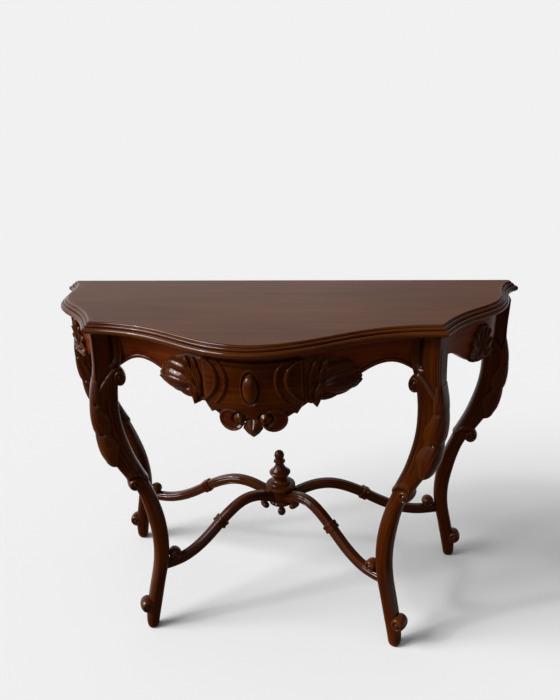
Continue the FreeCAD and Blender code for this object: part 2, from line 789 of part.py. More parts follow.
def make_blocks():
    """Glue blocks in the angle under the top, along the back rail and the front apron."""
    low = underside - block_side
    rail_face = back_post_y + back_rail_setback - back_rail_thickness / 2
    blocks = []
    for x in (-back_block_reach, 0, back_block_reach):
        corner = Vector(x - block_length / 2, rail_face - block_side, low)
        blocks.append(Part.makeBox(block_length, block_side, block_side, corner))
    inset = front_apron_inset + front_apron_thickness
    inner = spline(inset_run(front_run, inset)[0])
    for x in (-front_block_reach, front_block_reach):
        at = inner.value(inner.parameter(Vector(x, bow_y(inset), 0)))
        corner = Vector(at.x - block_length / 2, at.y - block_side / 2, low)
        block = Part.makeBox(block_length, 2 * block_side, block_side, corner)
        blocks.append(max(block.cut(nodes["front_apron"]).Solids, key=lambda solid: solid.CenterOfMass.y))
    return Part.makeCompound(blocks)


def build():
    """Make every node in its place."""
    nodes["top"] = make_top()
    front_solid = front_leg.solid()
    back_solid = back_leg.solid()
    nodes["front_apron"] = make_front_apron()
    side_apron = make_side_apron()
    back_rail = make_back_rail()

    start, end, chord = side_chord()
    front_end = mid_crossing(front_run, front_apron_inset + front_apron_thickness / 2, front_leg.post,
                             front_leg.out, -post_width / 2)
    front_low = underside - front_apron_height * front_arch_shares[-1][1]
    side_low = underside - side_apron_height * side_arch_shares[0][1]
    rail_low = underside - back_rail_height
    rail_end = Vector(back_post_x - post_width / 2, back_post_y + back_rail_setback, 0)
    ends = (
        (front_end, front_leg.out, front_low),
        (start, front_leg.across * -1, side_low),
        (end, back_leg.across, side_low),
        (rail_end, back_leg.out, rail_low))
    tenons = [tenon(point, axis, low, 0) for point, axis, low in ends]
    mortises = [tenon(point, axis, low, tenon_clearance) for point, axis, low in ends]
    front_tenon, side_front_tenon, side_back_tenon, rail_tenon = tenons

    hub = make_hub()
    arms = {"front": Arm(front_leg), "back": Arm(back_leg)}
    arm_solids = {
        "front": arms["front"].solid(front_solid, hub),
        "back": arms["back"].solid(back_solid, hub)}
    arm_mortises = []
    for place, arm in arms.items():
        arm_solids[place] = arm_solids[place].fuse(arm.tenons(0)).removeSplitter()
        arm_mortises += arm.tenons(tenon_clearance)
    arm_mortises += [mirrored(m) for m in arm_mortises]

    shield = make_shield()
    nodes["cabochon"] = make_cabochon()
    nodes["shield"] = largest(shield.cut(nodes["cabochon"]))
    nodes["pendant_bud"] = make_pendant(shield)
    add_pair("{}_c_scroll", make_c_scroll())
    add_pair("{}_flower_spray", make_spray())
    add_pair("{}_shell", make_shell())

    nodes["front_apron"] = nodes["front_apron"].fuse([front_tenon, mirrored(front_tenon)]).removeSplitter()
    nodes["back_rail"] = back_rail.fuse([rail_tenon, mirrored(rail_tenon)]).removeSplitter()
    add_pair("{}_side_apron", side_apron.fuse([side_front_tenon, side_back_tenon]).removeSplitter())
    leg_mortises = Part.makeCompound(mortises + arm_mortises)
    add_pair("front_{}_leg", largest(front_solid.cut(leg_mortises)))
    add_pair("back_{}_leg", largest(back_solid.cut(leg_mortises)))
    add_pair("front_{}_stretcher_arm", arm_solids["front"])
    add_pair("back_{}_stretcher_arm", arm_solids["back"])
    nodes["stretcher_hub"] = hub.cut(Part.makeCompound(arm_mortises))
    nodes["finial"] = make_finial()
    nodes["hub_drop"] = make_drop()
    nodes["glue_blocks"] = make_blocks()


build()
os.makedirs("parts", exist_ok=True)
for name, shape in nodes.items():
    shape.exportStep("parts/" + name + ".step")
    print(name, len(shape.Solids), round(shape.Volume), shape.isValid())
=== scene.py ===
"""Looks of a carved walnut pier table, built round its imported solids.

Every sub-assembly is a class with its sizes in millimetres. Its methods work out skins with numpy,
place them in the shared frame in metres, and dress them with a finish.
"""

import logging
import math
from collections.abc import Callable, Sequence
from dataclasses import dataclass, replace
from enum import Enum
from typing import Any

import bmesh
import bpy
import numpy as np
from mathutils import Matrix


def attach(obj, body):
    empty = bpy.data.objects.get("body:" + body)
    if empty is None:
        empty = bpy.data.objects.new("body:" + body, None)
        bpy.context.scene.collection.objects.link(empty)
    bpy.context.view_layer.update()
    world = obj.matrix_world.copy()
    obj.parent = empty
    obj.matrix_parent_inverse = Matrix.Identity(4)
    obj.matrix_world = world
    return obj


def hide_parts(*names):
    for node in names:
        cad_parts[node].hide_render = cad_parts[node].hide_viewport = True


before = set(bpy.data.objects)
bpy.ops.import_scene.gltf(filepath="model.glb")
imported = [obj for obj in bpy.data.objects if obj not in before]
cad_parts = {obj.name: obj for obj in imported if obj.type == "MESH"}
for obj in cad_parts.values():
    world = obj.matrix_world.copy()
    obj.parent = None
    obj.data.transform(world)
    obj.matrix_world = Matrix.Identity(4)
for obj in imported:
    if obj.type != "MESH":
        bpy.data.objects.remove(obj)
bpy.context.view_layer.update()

MM = 0.001
GRAIN_MAP = "grain"
RELIEF = "relief"
# Edges past this many degrees are drawn sharp.
SHARP = 38.0
# Each piece's grain map is moved on by this much, in metres, so that no two pieces match.
GRAIN_SHIFT = (0.37, 0.23)
# Height of the top's underside in millimetres, where the posts and aprons end.
UNDERSIDE = 776.0
# The hub's axis stands this far behind the table's middle, in millimetres.
HUB_Y = 71.0
UP = np.array((0.0, 0.0, 1.0))
Array = np.ndarray
Pair = tuple[float, float]
Triple = tuple[float, float, float]
Pairs = tuple[Pair, ...]
log = logging.getLogger("pier_table")


class Side(Enum):
    """The two hands of a piece that comes in pairs."""

    RIGHT = "right"
    LEFT = "left"


class Follows(Enum):
    """What a finish's grain follows: the piece's own map, or the frame's X axis."""

    MAP = "map"
    FRAME = "frame"


def linear(code: str) -> tuple[float, float, float, float]:
    """Turn an sRGB hex value into linear colour with full opacity.

    Args:
        code: The value, such as #4b2408.

    Returns:
        Red, green, blue and alpha.
    """
    parts = np.array([int(code[i : i + 2], 16) / 255 for i in (1, 3, 5)])
    rgb = np.where(parts <= 0.04045, parts / 12.92, ((parts + 0.055) / 1.055) ** 2.4)
    return (float(rgb[0]), float(rgb[1]), float(rgb[2]), 1.0)


def add_node(
    tree: bpy.types.NodeTree, kind: str, inputs: dict[Any, Any] | None = None, **settings: Any
) -> bpy.types.Node:
    """Add a node with its settings, values and links.

    Args:
        tree: The node tree to add to.
        kind: The node's type name.
        inputs: Values or output sockets by input name or number.
        **settings: Properties of the node itself.

    Returns:
        The new node.
    """
    node = tree.nodes.new(kind)
    for key, value in settings.items():
        setattr(node, key, value)
    for key, value in (inputs or {}).items():
        if isinstance(value, bpy.types.NodeSocket):
            tree.links.new(value, node.inputs[key])
        else:
            node.inputs[key].default_value = value
    return node


def add_object(name: str, data: bpy.types.ID) -> bpy.types.Object:
    """Put a mesh, lamp or camera into the scene.

    Args:
        name: The object's name.
        data: What it shows.

    Returns:
        The object, at the origin.
    """
    made = bpy.data.objects.new(name, data)
    bpy.context.scene.collection.objects.link(made)
    return made


def fresh_tree(owner: bpy.types.Material | bpy.types.World) -> bpy.types.NodeTree:
    """Give a material or the world an empty node tree.

    Args:
        owner: What the tree belongs to.

    Returns:
        The tree.
    """
    owner.use_nodes = True
    owner.node_tree.nodes.clear()
    return owner.node_tree


def stand(right: Array, up: Array, back: Array, place: Sequence[float] = (0.0, 0.0, 0.0)) -> Matrix:
    """The matrix of a lamp or camera, from its own three directions and its place.

    Args:
        right: Its X axis.
        up: Its Y axis.
        back: Its Z axis, away from what it looks at.
        place: Its place in metres.

    Returns:
        The matrix.
    """
    matrix = np.eye(4)
    matrix[:3] = np.column_stack([right, up, back, place])
    return Matrix(matrix.tolist())


def spline_at(knots: Array, values: Array, at: Array) -> Array:
    """Natural cubic spline: piecewise cubics with matching first and second derivatives.

    Args:
        knots: Rising parameters of the known values.
        values: Known values, one row per knot.
        at: Parameters to work the curve out at.

    Returns:
        One row of values per parameter.
    """
    count = len(knots)
    gap = np.diff(knots)
    matrix = np.eye(count)
    inner = np.arange(1, count - 1)
    matrix[inner, inner - 1] = gap[:-1]
    matrix[inner, inner] = 2 * (gap[:-1] + gap[1:])
    matrix[inner, inner + 1] = gap[1:]
    right = np.zeros_like(values)
    right[1:-1] = 6 * np.diff(np.diff(values, axis=0) / gap[:, None], axis=0)
    bend = np.linalg.solve(matrix, right)
    k = np.clip(np.searchsorted(knots, at) - 1, 0, count - 2)
    g, a, b = (x[:, None] for x in (gap[k], knots[k + 1] - at, at - knots[k]))
    cubic = (bend[k] * a**3 + bend[k + 1] * b**3) / (6 * g)
    return cubic + (values[k] / g - bend[k] * g / 6) * a + (values[k + 1] / g - bend[k + 1] * g / 6) * b


def chord_knots(points: Array) -> Array:
    """Running length of the straight lines from point to point."""
    return np.concatenate([[0.0], np.cumsum(np.linalg.norm(np.diff(points, axis=0), axis=1))])


def smooth_run(points: Array, count: int) -> Array:
    """A number of points evenly along the spline through the given ones."""
    knots = chord_knots(points)
    return spline_at(knots, points, np.linspace(0, knots[-1], count))


def straight_run(points: Array, count: int) -> Array:
    """A number of points evenly along the straight lines between the given ones.

    Args:
        points: The given points, in a plane.
        count: How many to make, both ends among them.

    Returns:
        The points.
    """
    knots = chord_knots(points)
    at = np.linspace(0, knots[-1], count)
    return np.stack([np.interp(at, knots, points[:, k]) for k in (0, 1)], 1)


def through(pairs: Sequence[Sequence[float]], at: Array) -> Array:
    """A smooth one-valued curve through (parameter, value) pairs."""
    table = np.array(pairs, float)
    return spline_at(table[:, 0], table[:, 1:], np.ravel(at))[:, 0].reshape(np.shape(at))


def units(vectors: Array) -> Array:
    """Each row over its own length."""
    return vectors / np.linalg.norm(vectors, axis=1)[:, None]


def left_normals(points: Array) -> Array:
    """Directions square to a smooth run in plan: its spline's own direction, turned left.

    Args:
        points: The run's points.

    Returns:
        A unit direction at each point.
    """
    knots = chord_knots(points)
    step = knots[-1] * 1e-4
    ahead = spline_at(knots, points, np.minimum(knots + step, knots[-1]))
    behind = spline_at(knots, points, np.maximum(knots - step, 0))
    way = units(ahead - behind)
    return np.stack([-way[:, 1], way[:, 0]], 1)


def ramp(value: Array, low: float, high: float) -> Array:
    """Smooth step: 0 below low, 1 above high, with level ends."""
    t = np.clip((value - low) / (high - low), 0, 1)
    return t * t * (3 - 2 * t)


def hump(value: Array, centre: float, half: float) -> Array:
    """Bell curve of height 1 round a centre."""
    return np.exp(-(((value - centre) / half) ** 2))


@dataclass
class Skin:
    """One or more closed skins: points in metres, faces, and grain coordinates at face corners."""

    points: Array
    quads: Array
    tris: Array
    quad_grain: Array
    tri_grain: Array

    def on(self, side: Side) -> "Skin":
        """The right-hand skin, or its mirror image with its faces turned to match.

        Args:
            side: The hand that is wanted.

        Returns:
            The skin on that side.
        """
        if side is Side.RIGHT:
            return self
        faces = (self.quads, self.tris, self.quad_grain, self.tri_grain)
        return Skin(self.points * (-1, 1, 1), *(rows[:, ::-1] for rows in faces))


def joined(skins: Sequence[Skin]) -> Skin:
    """Several skins as one, with their faces renumbered.

    Args:
        skins: The skins, in order.

    Returns:
        One skin.
    """
    starts = np.cumsum([0] + [len(s.points) for s in skins[:-1]])
    return Skin(
        np.vstack([s.points for s in skins]),
        np.vstack([s.quads + n for s, n in zip(skins, starts)]),
        np.vstack([s.tris + n for s, n in zip(skins, starts)]),
        np.vstack([s.quad_grain for s in skins]),
        np.vstack([s.tri_grain for s in skins]),
    )


def tube(points: Array, grain: Array | None = None) -> Skin:
    """A closed skin over rings of points, with a fan at each end.

    Faces join point (i, j) to (i, j+1), (i+1, j+1) and (i+1, j), where j runs round the ring and i
    along the piece. A fan joins each end ring to its own mean.

    Args:
        points: Rings in millimetres, shaped (rings, columns, 3).
        grain: Flat coordinates in millimetres shaped (rings, columns, 2), or None for length along
            the piece and length round it.

    Returns:
        The skin in metres.
    """
    rings, columns = points.shape[:2]
    if grain is None:
        wrapped = np.concatenate([points, points[:, :1]], 1)
        steps = (
            np.linalg.norm(np.diff(points, axis=0), axis=2).mean(1),
            np.linalg.norm(np.diff(wrapped, axis=1), axis=2).mean(0),
        )
        lengths = (np.concatenate([[0], np.cumsum(step)]) for step in steps)
        grain = np.stack(np.meshgrid(*lengths, indexing="ij"), -1)
    else:
        grain = np.concatenate([grain, grain[:, :1]], 1)
    index = np.arange(rings * columns).reshape(rings, columns)
    after = np.roll(index, -1, 1)
    quads = np.stack([index[:-1], after[:-1], after[1:], index[1:]], -1).reshape(-1, 4)
    quad_grain = np.stack([grain[:-1, :-1], grain[:-1, 1:], grain[1:, 1:], grain[1:, :-1]], 2)
    hubs = np.stack([points[0].mean(0), points[-1].mean(0)])
    first, last = (np.full(columns, rings * columns + k) for k in (0, 1))
    tris = np.vstack(
        [np.stack([first, after[0], index[0]], 1), np.stack([last, index[-1], after[-1]], 1)]
    )
    mid = [np.broadcast_to(g[:-1].mean(0), (columns, 2)) for g in (grain[0], grain[-1])]
    tri_grain = np.vstack(
        [
            np.stack([mid[0], grain[0, 1:], grain[0, :-1]], 1),
            np.stack([mid[1], grain[-1, :-1], grain[-1, 1:]], 1),
        ]
    )
    flat = np.vstack([points.reshape(-1, 3), hubs])
    return Skin(flat * MM, quads, tris, quad_grain.reshape(-1, 4, 2) * MM, tri_grain * MM)


def swept(centre: Array, first: Array, second: Array, u: Array, v: Array) -> Skin:
    """A section carried along a line: each ring is its centre plus u one way and v the other."""
    first, second = (np.atleast_2d(way)[:, None] for way in (first, second))
    return tube(centre[:, None] + first * u[..., None] + second * v[..., None])


def turned(profile: Pairs, axis_y: float, columns: int = 72, fine: int = 6) -> Skin:
    """A turning: a profile, with added points between, carried round an upright axis.

    Args:
        profile: Radius and height from bottom to top, in millimetres.
        axis_y: The axis's place behind the middle.
        columns: Points round it.
        fine: Steps between two points of the profile.

    Returns:
        The closed skin.
    """
    pairs = np.array(profile, float)
    knots = np.arange(len(pairs))
    at = np.linspace(0, len(pairs) - 1, (len(pairs) - 1) * fine + 1)
    radius, z = (np.interp(at, knots, pairs[:, k])[:, None] for k in (0, 1))
    turn = np.linspace(0, 2 * np.pi, columns, endpoint=False)[None]
    return tube(np.stack([radius * np.cos(turn), axis_y + radius * np.sin(turn), z + 0 * turn], -1))


def oval(
    centre: Sequence[float], long: float, wide: float, tilt: float = 0.0, columns: int = 96
) -> Array:
    """Points round an oval in the plane of a face.

    Args:
        centre: Its middle.
        long: Half its length.
        wide: Half its width.
        tilt: Degrees that its length is turned from level.
        columns: Number of points.

    Returns:
        Lengths along the face and heights.
    """
    turn = np.linspace(0, 2 * np.pi, columns, endpoint=False)
    a, b = long * np.cos(turn), wide * np.sin(turn)
    c, s = math.cos(math.radians(tilt)), math.sin(math.radians(tilt))
    return np.stack([centre[0] + a * c - b * s, centre[1] + a * s + b * c], 1)


@dataclass
class Section:
    """A four-sided section with rounded corners.

    A square's outline in even steps, each point divided by its p-norm, so that a high power gives
    square corners and 2 gives a round.
    """

    columns: int

    def __post_init__(self) -> None:
        """Work out the square's outline, the place along each face, and which pair of faces it is."""
        step = np.arange(self.columns) / self.columns * 4
        side = np.floor(step).astype(int)
        self.place = 2 * (step - side) - 1
        one = np.ones_like(step)
        self.u = np.choose(side, [one, -self.place, -one, self.place])
        self.v = np.choose(side, [self.place, one, -self.place, -one])
        self.on_u = (side % 2 == 0).astype(float)
        self.on_v = (side % 2 == 1).astype(float)

    def at(
        self, half_u: Array, half_v: Array, sunk: Array, power: Array | float
    ) -> tuple[Array, Array]:
        """Rings of offsets: the outline times its half sizes, sunk square to it by some depth.

        Args:
            half_u: Half sizes along the first direction, one per ring.
            half_v: Half sizes along the second direction, one per ring.
            sunk: Depth below the outline, shaped (rings, columns).
            power: The p-norm, for all rings or one per ring.

        Returns:
            Offsets along the two directions, each shaped (rings, columns).
        """
        p = np.reshape(power, (-1, 1))
        norm = (abs(self.u) ** p + abs(self.v) ** p) ** (1 / p)
        u, v = self.u / norm, self.v / norm
        out_u, out_v = np.sign(u) * abs(u) ** (p - 1), np.sign(v) * abs(v) ** (p - 1)
        sunk = sunk / np.hypot(out_u, out_v)
        return u * half_u[:, None] - out_u * sunk, v * half_v[:, None] - out_v * sunk


@dataclass(frozen=True)
class Volute:
    """A scroll end: an upright disc with a spiral cut on both faces and a proud eye.

    Over the flat part of its radius, the face's height falls by the spiral's depth times
    ((1 + cos(turns x r + angle)) / 2) to the power 1.5, which winds once round per turn of the angle.
    The rim is half an oval.
    """

    radius: float
    half: float
    depth: float = 1.8
    turns: float = 1.3
    tall: float = 1.0
    flat: float = 0.62
    eye: float = 0.16
    eye_rise: float = 0.8
    eye_soft: float = 0.04
    cut_in: float = 0.1
    cut_out: float = 0.12

    def skin(self, centre: Array, axis: Array, columns: int = 60, rows: int = 22, rim_rows: int = 17) -> Skin:
        """Place the disc.

        Args:
            centre: Middle of the disc, in millimetres.
            axis: Level unit direction of its axle.
            columns: Points round the disc.
            rows: Rings on each face.
            rim_rows: Rings over the rim, with the two that the faces end in.

        Returns:
            The closed skin.
        """
        turn = np.linspace(0, 2 * np.pi, columns, endpoint=False)[None]
        share = np.linspace(0.03, self.flat, rows)[:, None]
        wave = (1 + np.cos(2 * np.pi * self.turns * share / self.flat + turn)) / 2
        begun = ramp(share, self.eye, self.eye + self.cut_in)
        cut = begun * (1 - ramp(share, self.flat - self.cut_out, self.flat))
        eye = self.eye_rise * (1 - ramp(share, self.eye - self.eye_soft, self.eye + self.eye_soft))
        face = self.half - self.depth * wave**1.5 * cut + eye
        lean = np.linspace(np.pi / 2, -np.pi / 2, rim_rows)[1:-1, None]
        rim_share = self.flat + (1 - self.flat) * np.cos(lean)
        r = self.radius * np.vstack([share, rim_share, share[::-1]]) + 0 * turn
        h = np.vstack([face, self.half * np.sin(lean) + 0 * turn, -face[::-1]])
        level = np.cross(axis, UP)
        ring = level * np.cos(turn)[..., None] + self.tall * UP * np.sin(turn)[..., None]
        return tube(centre + axis * h[..., None] + ring * r[..., None])


@dataclass(frozen=True)
class Walnut:
    """Walnut with its grain along the piece: long soft streaks and fine dark pores.

    Where it is French-polished it was stained red-brown and rubbed with shellac. Hollows are darkened,
    a painted shade in the recesses together with the polish that collects there, and raised edges are
    paler where they are rubbed. A wet gloss is strongest on faces that look up, where a duster reaches,
    and faint on upright ones. The wood under the polish hardly shines, and with a red glint. Walnut's
    pores are about 0.2 mm wide, too fine to show, so they are drawn about 1 mm wide.

    Sizes are (along the grain, across it) in millimetres. A range gives the values that count as 0
    and as 1, and a share is the most that a colour is mixed in. Details are the octaves of streaks,
    blotches and pores, and each octave has the fine weight of the one before.
    """

    name: str
    dark: str
    middle: str
    light: str
    hollow: str
    rubbed: str
    roughness: float
    coat: float
    coat_under: float
    coat_roughness: float
    shine: float
    glint: str = "#ffffff"
    streak_size: Pair = (160.0, 7.0)
    pore_size: Pair = (16.0, 0.9)
    follows: Follows = Follows.MAP
    tone_range: Pair = (0.74, 1.28)
    pore_range: Pair = (0.62, 0.74)
    # Relief that counts as sunk: there the hollow colour is painted shade in the recesses, with the polish that
    # collects there.
    sunk_shade_range: Pair = (-0.05, -0.80)
    proud_range: Pair = (0.25, 1.0)
    upward_range: Pair = (0.15, 0.5)
    blotch_range: Pair = (0.3, 0.7)
    blotch_scale: Pair = (1.6, 9.0)
    details: Triple = (5.0, 2.0, 2.0)
    fine_weight: float = 0.55
    pore_share: float = 0.14
    # Most of the hollow colour painted into sunk places as shade.
    sunk_shade_share: float = 0.80
    proud_share: float = 0.22
    dull_blotch: float = 0.1
    dull_hollow: float = 0.25
    pore_depth: float = 0.5
    bump_strength: float = 0.25
    bump_height: float = 0.4
    ior: float = 1.5

    def material(self) -> bpy.types.Material:
        """Build the node material, with every pattern's scale taken from its size in millimetres.

        Returns:
            The material.
        """
        made = bpy.data.materials.new(self.name)
        tree = fresh_tree(made)
        streak, blotch, pore = self.patterns(tree)
        tone = add_node(tree, "ShaderNodeMath", {0: streak, 1: blotch}, operation="ADD").outputs[0]
        relief = add_node(tree, "ShaderNodeAttribute", attribute_name=RELIEF).outputs["Fac"]
        shares = []
        for value, (low, high) in (
            (tone, self.tone_range),
            (pore, self.pore_range),
            (relief, self.sunk_shade_range),
            (relief, self.proud_range),
        ):
            inputs = {"Value": value, "From Min": low, "From Max": high}
            shares.append(add_node(tree, "ShaderNodeMapRange", inputs).outputs["Result"])
        figure, pores, sunk, proud = shares
        wood = add_node(tree, "ShaderNodeValToRGB", {"Fac": figure})
        stops = wood.color_ramp.elements
        stops[0].color, stops[1].color = linear(self.dark), linear(self.light)
        stops.new(0.5).color = linear(self.middle)
        colour = wood.outputs["Color"]
        # Pores take the hollow colour as grain; sunk relief takes it as painted shade in the recesses, with the
        # polish that collects there; raised relief takes the rubbed colour.
        for share, most, code in (
            (pores, self.pore_share, self.hollow),
            (sunk, self.sunk_shade_share, self.hollow),
            (proud, self.proud_share, self.rubbed),
        ):
            amount = add_node(tree, "ShaderNodeMath", {0: share, 1: most}, operation="MULTIPLY").outputs[0]
            inputs = {"Factor": amount, 6: colour, 7: linear(code)}
            colour = add_node(tree, "ShaderNodeMix", inputs, data_type="RGBA").outputs[2]
        # Blotches and hollows are a little duller, and pores are sunk below the streaks.
        inputs = dict(zip(("From Min", "From Max"), self.blotch_range))
        inputs |= {"Value": blotch, "To Min": self.roughness, "To Max": self.roughness + self.dull_blotch}
        gloss = add_node(tree, "ShaderNodeMapRange", inputs).outputs["Result"]
        matt, height = (
            add_node(tree, "ShaderNodeMath", {0: a, 1: b, 2: c}, operation="MULTIPLY_ADD").outputs[0]
            for a, b, c in ((sunk, self.dull_hollow, gloss), (pores, -self.pore_depth, streak))
        )
        inputs = {"Strength": self.bump_strength, "Distance": self.bump_height * MM, "Height": height}
        bump = add_node(tree, "ShaderNodeBump", inputs).outputs["Normal"]
        shader = add_node(
            tree,
            "ShaderNodeBsdfPrincipled",
            {
                "Base Color": colour,
                "Roughness": matt,
                "IOR": self.ior,
                "Specular IOR Level": self.shine,
                "Specular Tint": linear(self.glint),
                "Coat Weight": self.coat_weight(tree),
                "Coat Roughness": self.coat_roughness,
                "Normal": bump,
            },
        )
        add_node(tree, "ShaderNodeOutputMaterial", {"Surface": shader.outputs["BSDF"]})
        return made

    def patterns(self, tree: bpy.types.NodeTree) -> list[bpy.types.NodeSocket]:
        """Streaks, blotches and pores: noise drawn out along the grain.

        Args:
            tree: The material's node tree.

        Returns:
            The three value sockets.
        """
        if self.follows is Follows.MAP:
            place = add_node(tree, "ShaderNodeUVMap", uv_map=GRAIN_MAP).outputs["UV"]
        else:
            place = add_node(tree, "ShaderNodeTexCoord").outputs["Object"]
        blotch_size = tuple(mm * times for mm, times in zip(self.streak_size, self.blotch_scale))
        made = []
        for (long, wide), detail in zip((self.streak_size, blotch_size, self.pore_size), self.details):
            scale = [1 / (mm * MM) for mm in (long, wide, wide)]
            spread = add_node(tree, "ShaderNodeMapping", {"Vector": place, "Scale": scale}).outputs["Vector"]
            inputs = {"Vector": spread, "Scale": 1.0, "Detail": detail, "Roughness": self.fine_weight}
            made.append(add_node(tree, "ShaderNodeTexNoise", inputs).outputs["Fac"])
        return made

    def coat_weight(self, tree: bpy.types.NodeTree) -> Any:
        """The polish's weight: one number, or a socket where it grows on faces that look up.

        Args:
            tree: The material's node tree.

        Returns:
            What the shader's coat takes.
        """
        if self.coat_under == self.coat:
            return self.coat
        normal = add_node(tree, "ShaderNodeNewGeometry").outputs["Normal"]
        low, high = self.upward_range
        inputs = {
            "Value": add_node(tree, "ShaderNodeSeparateXYZ", {"Vector": normal}).outputs["Z"],
            "From Min": low,
            "From Max": high,
            "To Min": self.coat_under,
            "To Max": self.coat,
        }
        return add_node(tree, "ShaderNodeMapRange", inputs).outputs["Result"]


# Legs, stretcher and carving: the darkest stain, which lies thick in the cuts; the hollow colour in the cuts is
# also painted shade.
CARVED = Walnut(
    name="polished_walnut_carved",
    dark="#300e01",
    middle="#3e1602",
    light="#4e2303",
    hollow="#0a0200",
    rubbed="#6a3a10",
    roughness=0.30,
    coat=0.52,
    coat_under=0.02,
    coat_roughness=0.08,
    shine=0.03,
    glint="#c8581f",
)
# Apron boards: the same polish over a thinner, redder stain.
BOARD = replace(
    CARVED,
    name="polished_walnut_board",
    dark="#471101",
    middle="#5b1b02",
    light="#702b04",
    hollow="#100300",
    rubbed="#703a12",
)
# The top's field: one wide board with a broad, quiet figure and an even polish that has gone a little dull.
TOP = Walnut(
    name="polished_walnut_top",
    dark="#4a240c",
    middle="#522a0d",
    light="#5c310f",
    hollow="#1a0903",
    rubbed="#6c3f24",
    roughness=0.4,
    coat=0.33,
    coat_under=0.33,
    coat_roughness=0.09,
    shine=0.0,
    streak_size=(300.0, 20.0),
    pore_size=(22.0, 1.1),
)
# Back rail and glue blocks: sawn and left bare, so pale, matt and without polish.
PLAIN = Walnut(
    name="plain_sawn_walnut",
    dark="#3a2416",
    middle="#553720",
    light="#6f4c30",
    hollow="#2a190e",
    rubbed="#7d5a3c",
    roughness=0.62,
    coat=0.0,
    coat_under=0.0,
    coat_roughness=0.3,
    shine=0.3,
    follows=Follows.FRAME,
)


class Bench:
    """Turns skins into finished pieces that stand for solids of the frame."""

    def __init__(self) -> None:
        """Make each finish's material once."""
        self.materials = {finish.name: finish.material() for finish in (CARVED, BOARD, TOP, PLAIN)}
        self.count = 0

    def piece(self, name: str, skin: Skin, finish: Walnut, *nodes: str) -> bpy.types.Object:
        """Make one piece, dress it and let it stand for its solids.

        Args:
            name: The piece's name.
            skin: Its closed skins.
            finish: What it is finished with.
            *nodes: The solids that it stands for.

        Returns:
            The piece.
        """
        mesh = self.mesh(name, skin)
        self.mark_relief(mesh)
        mesh.shade_smooth()
        mesh.set_sharp_from_angle(angle=math.radians(SHARP))
        mesh.materials.append(self.materials[finish.name])
        made = add_object(name, mesh)
        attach(made, "root")
        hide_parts(*nodes)
        log.info("%s: %d points, stands for %s", name, len(mesh.vertices), ", ".join(nodes))
        return made

    def dress_below(self, made: bpy.types.Object, finish: Walnut, height: float) -> None:
        """Give a piece's lower faces a second finish.

        Args:
            made: The piece.
            finish: The second finish.
            height: Faces whose middles lie below this, in millimetres, get it.
        """
        middles = np.empty(len(made.data.polygons) * 3, np.float32)
        made.data.polygons.foreach_get("center", middles)
        made.data.materials.append(self.materials[finish.name])
        made.data.polygons.foreach_set("material_index", (middles[2::3] < height * MM).astype(np.int32))

    def mesh(self, name: str, skin: Skin) -> bpy.types.Mesh:
        """Put a skin into a mesh with its grain map, shifted per piece so that no two match.

        Args:
            name: The mesh's name.
            skin: Its closed skins.

        Returns:
            The mesh, with its faces turned outwards.
        """
        mesh = bpy.data.meshes.new(name)
        loops = np.concatenate([skin.quads.ravel(), skin.tris.ravel()])
        totals = np.concatenate([np.full(len(skin.quads), 4), np.full(len(skin.tris), 3)])
        starts = np.concatenate([[0], np.cumsum(totals)[:-1]])
        mesh.vertices.add(len(skin.points))
        mesh.vertices.foreach_set("co", skin.points.astype(np.float32).ravel())
        mesh.loops.add(len(loops))
        mesh.loops.foreach_set("vertex_index", loops.astype(np.int32))
        mesh.polygons.add(len(totals))
        mesh.polygons.foreach_set("loop_start", starts.astype(np.int32))
        mesh.update(calc_edges=True)
        self.count += 1
        shift = np.array(GRAIN_SHIFT) * self.count
        grain = np.concatenate([skin.quad_grain.reshape(-1, 2), skin.tri_grain.reshape(-1, 2)]) + shift
        mesh.uv_layers.new(name=GRAIN_MAP).data.foreach_set("uv", grain.astype(np.float32).ravel())
        work = bmesh.new()
        work.from_mesh(mesh)
        bmesh.ops.recalc_face_normals(work, faces=work.faces)
        work.to_mesh(mesh)
        work.free()
        return mesh

    @staticmethod
    def mark_relief(mesh: bpy.types.Mesh, passes: int = 14, full: float = 1.3) -> None:
        """Store how far each point stands proud of its smoothed surroundings.

        Each pass moves a copy of every point to the mean of its neighbours. The distance from there
        back to the point, along its normal and over a full measure in millimetres, is the relief.

        Args:
            mesh: The mesh to mark.
            passes: Number of smoothing passes.
            full: Distance in millimetres that counts as 1.
        """
        count = len(mesh.vertices)
        points, normals = (np.empty(count * 3, np.float32) for _ in range(2))
        mesh.vertices.foreach_get("co", points)
        mesh.vertices.foreach_get("normal", normals)
        ends = np.empty(len(mesh.edges) * 2, np.int32)
        mesh.edges.foreach_get("vertices", ends)
        points, normals, ends = points.reshape(-1, 3), normals.reshape(-1, 3), ends.reshape(-1, 2)
        near, far = np.concatenate([ends, ends[:, ::-1]]).T
        share = np.maximum(np.bincount(near, minlength=count), 1)
        smooth = points.astype(float)
        for _ in range(passes):
            smooth = np.stack([np.bincount(near, smooth[far, k], count) / share for k in range(3)], 1)
        relief = np.clip(((points - smooth) * normals).sum(1) / (full * MM), -1, 1)
        mesh.attributes.new(RELIEF, "FLOAT", "POINT").data.foreach_set("value", relief.astype(np.float32))


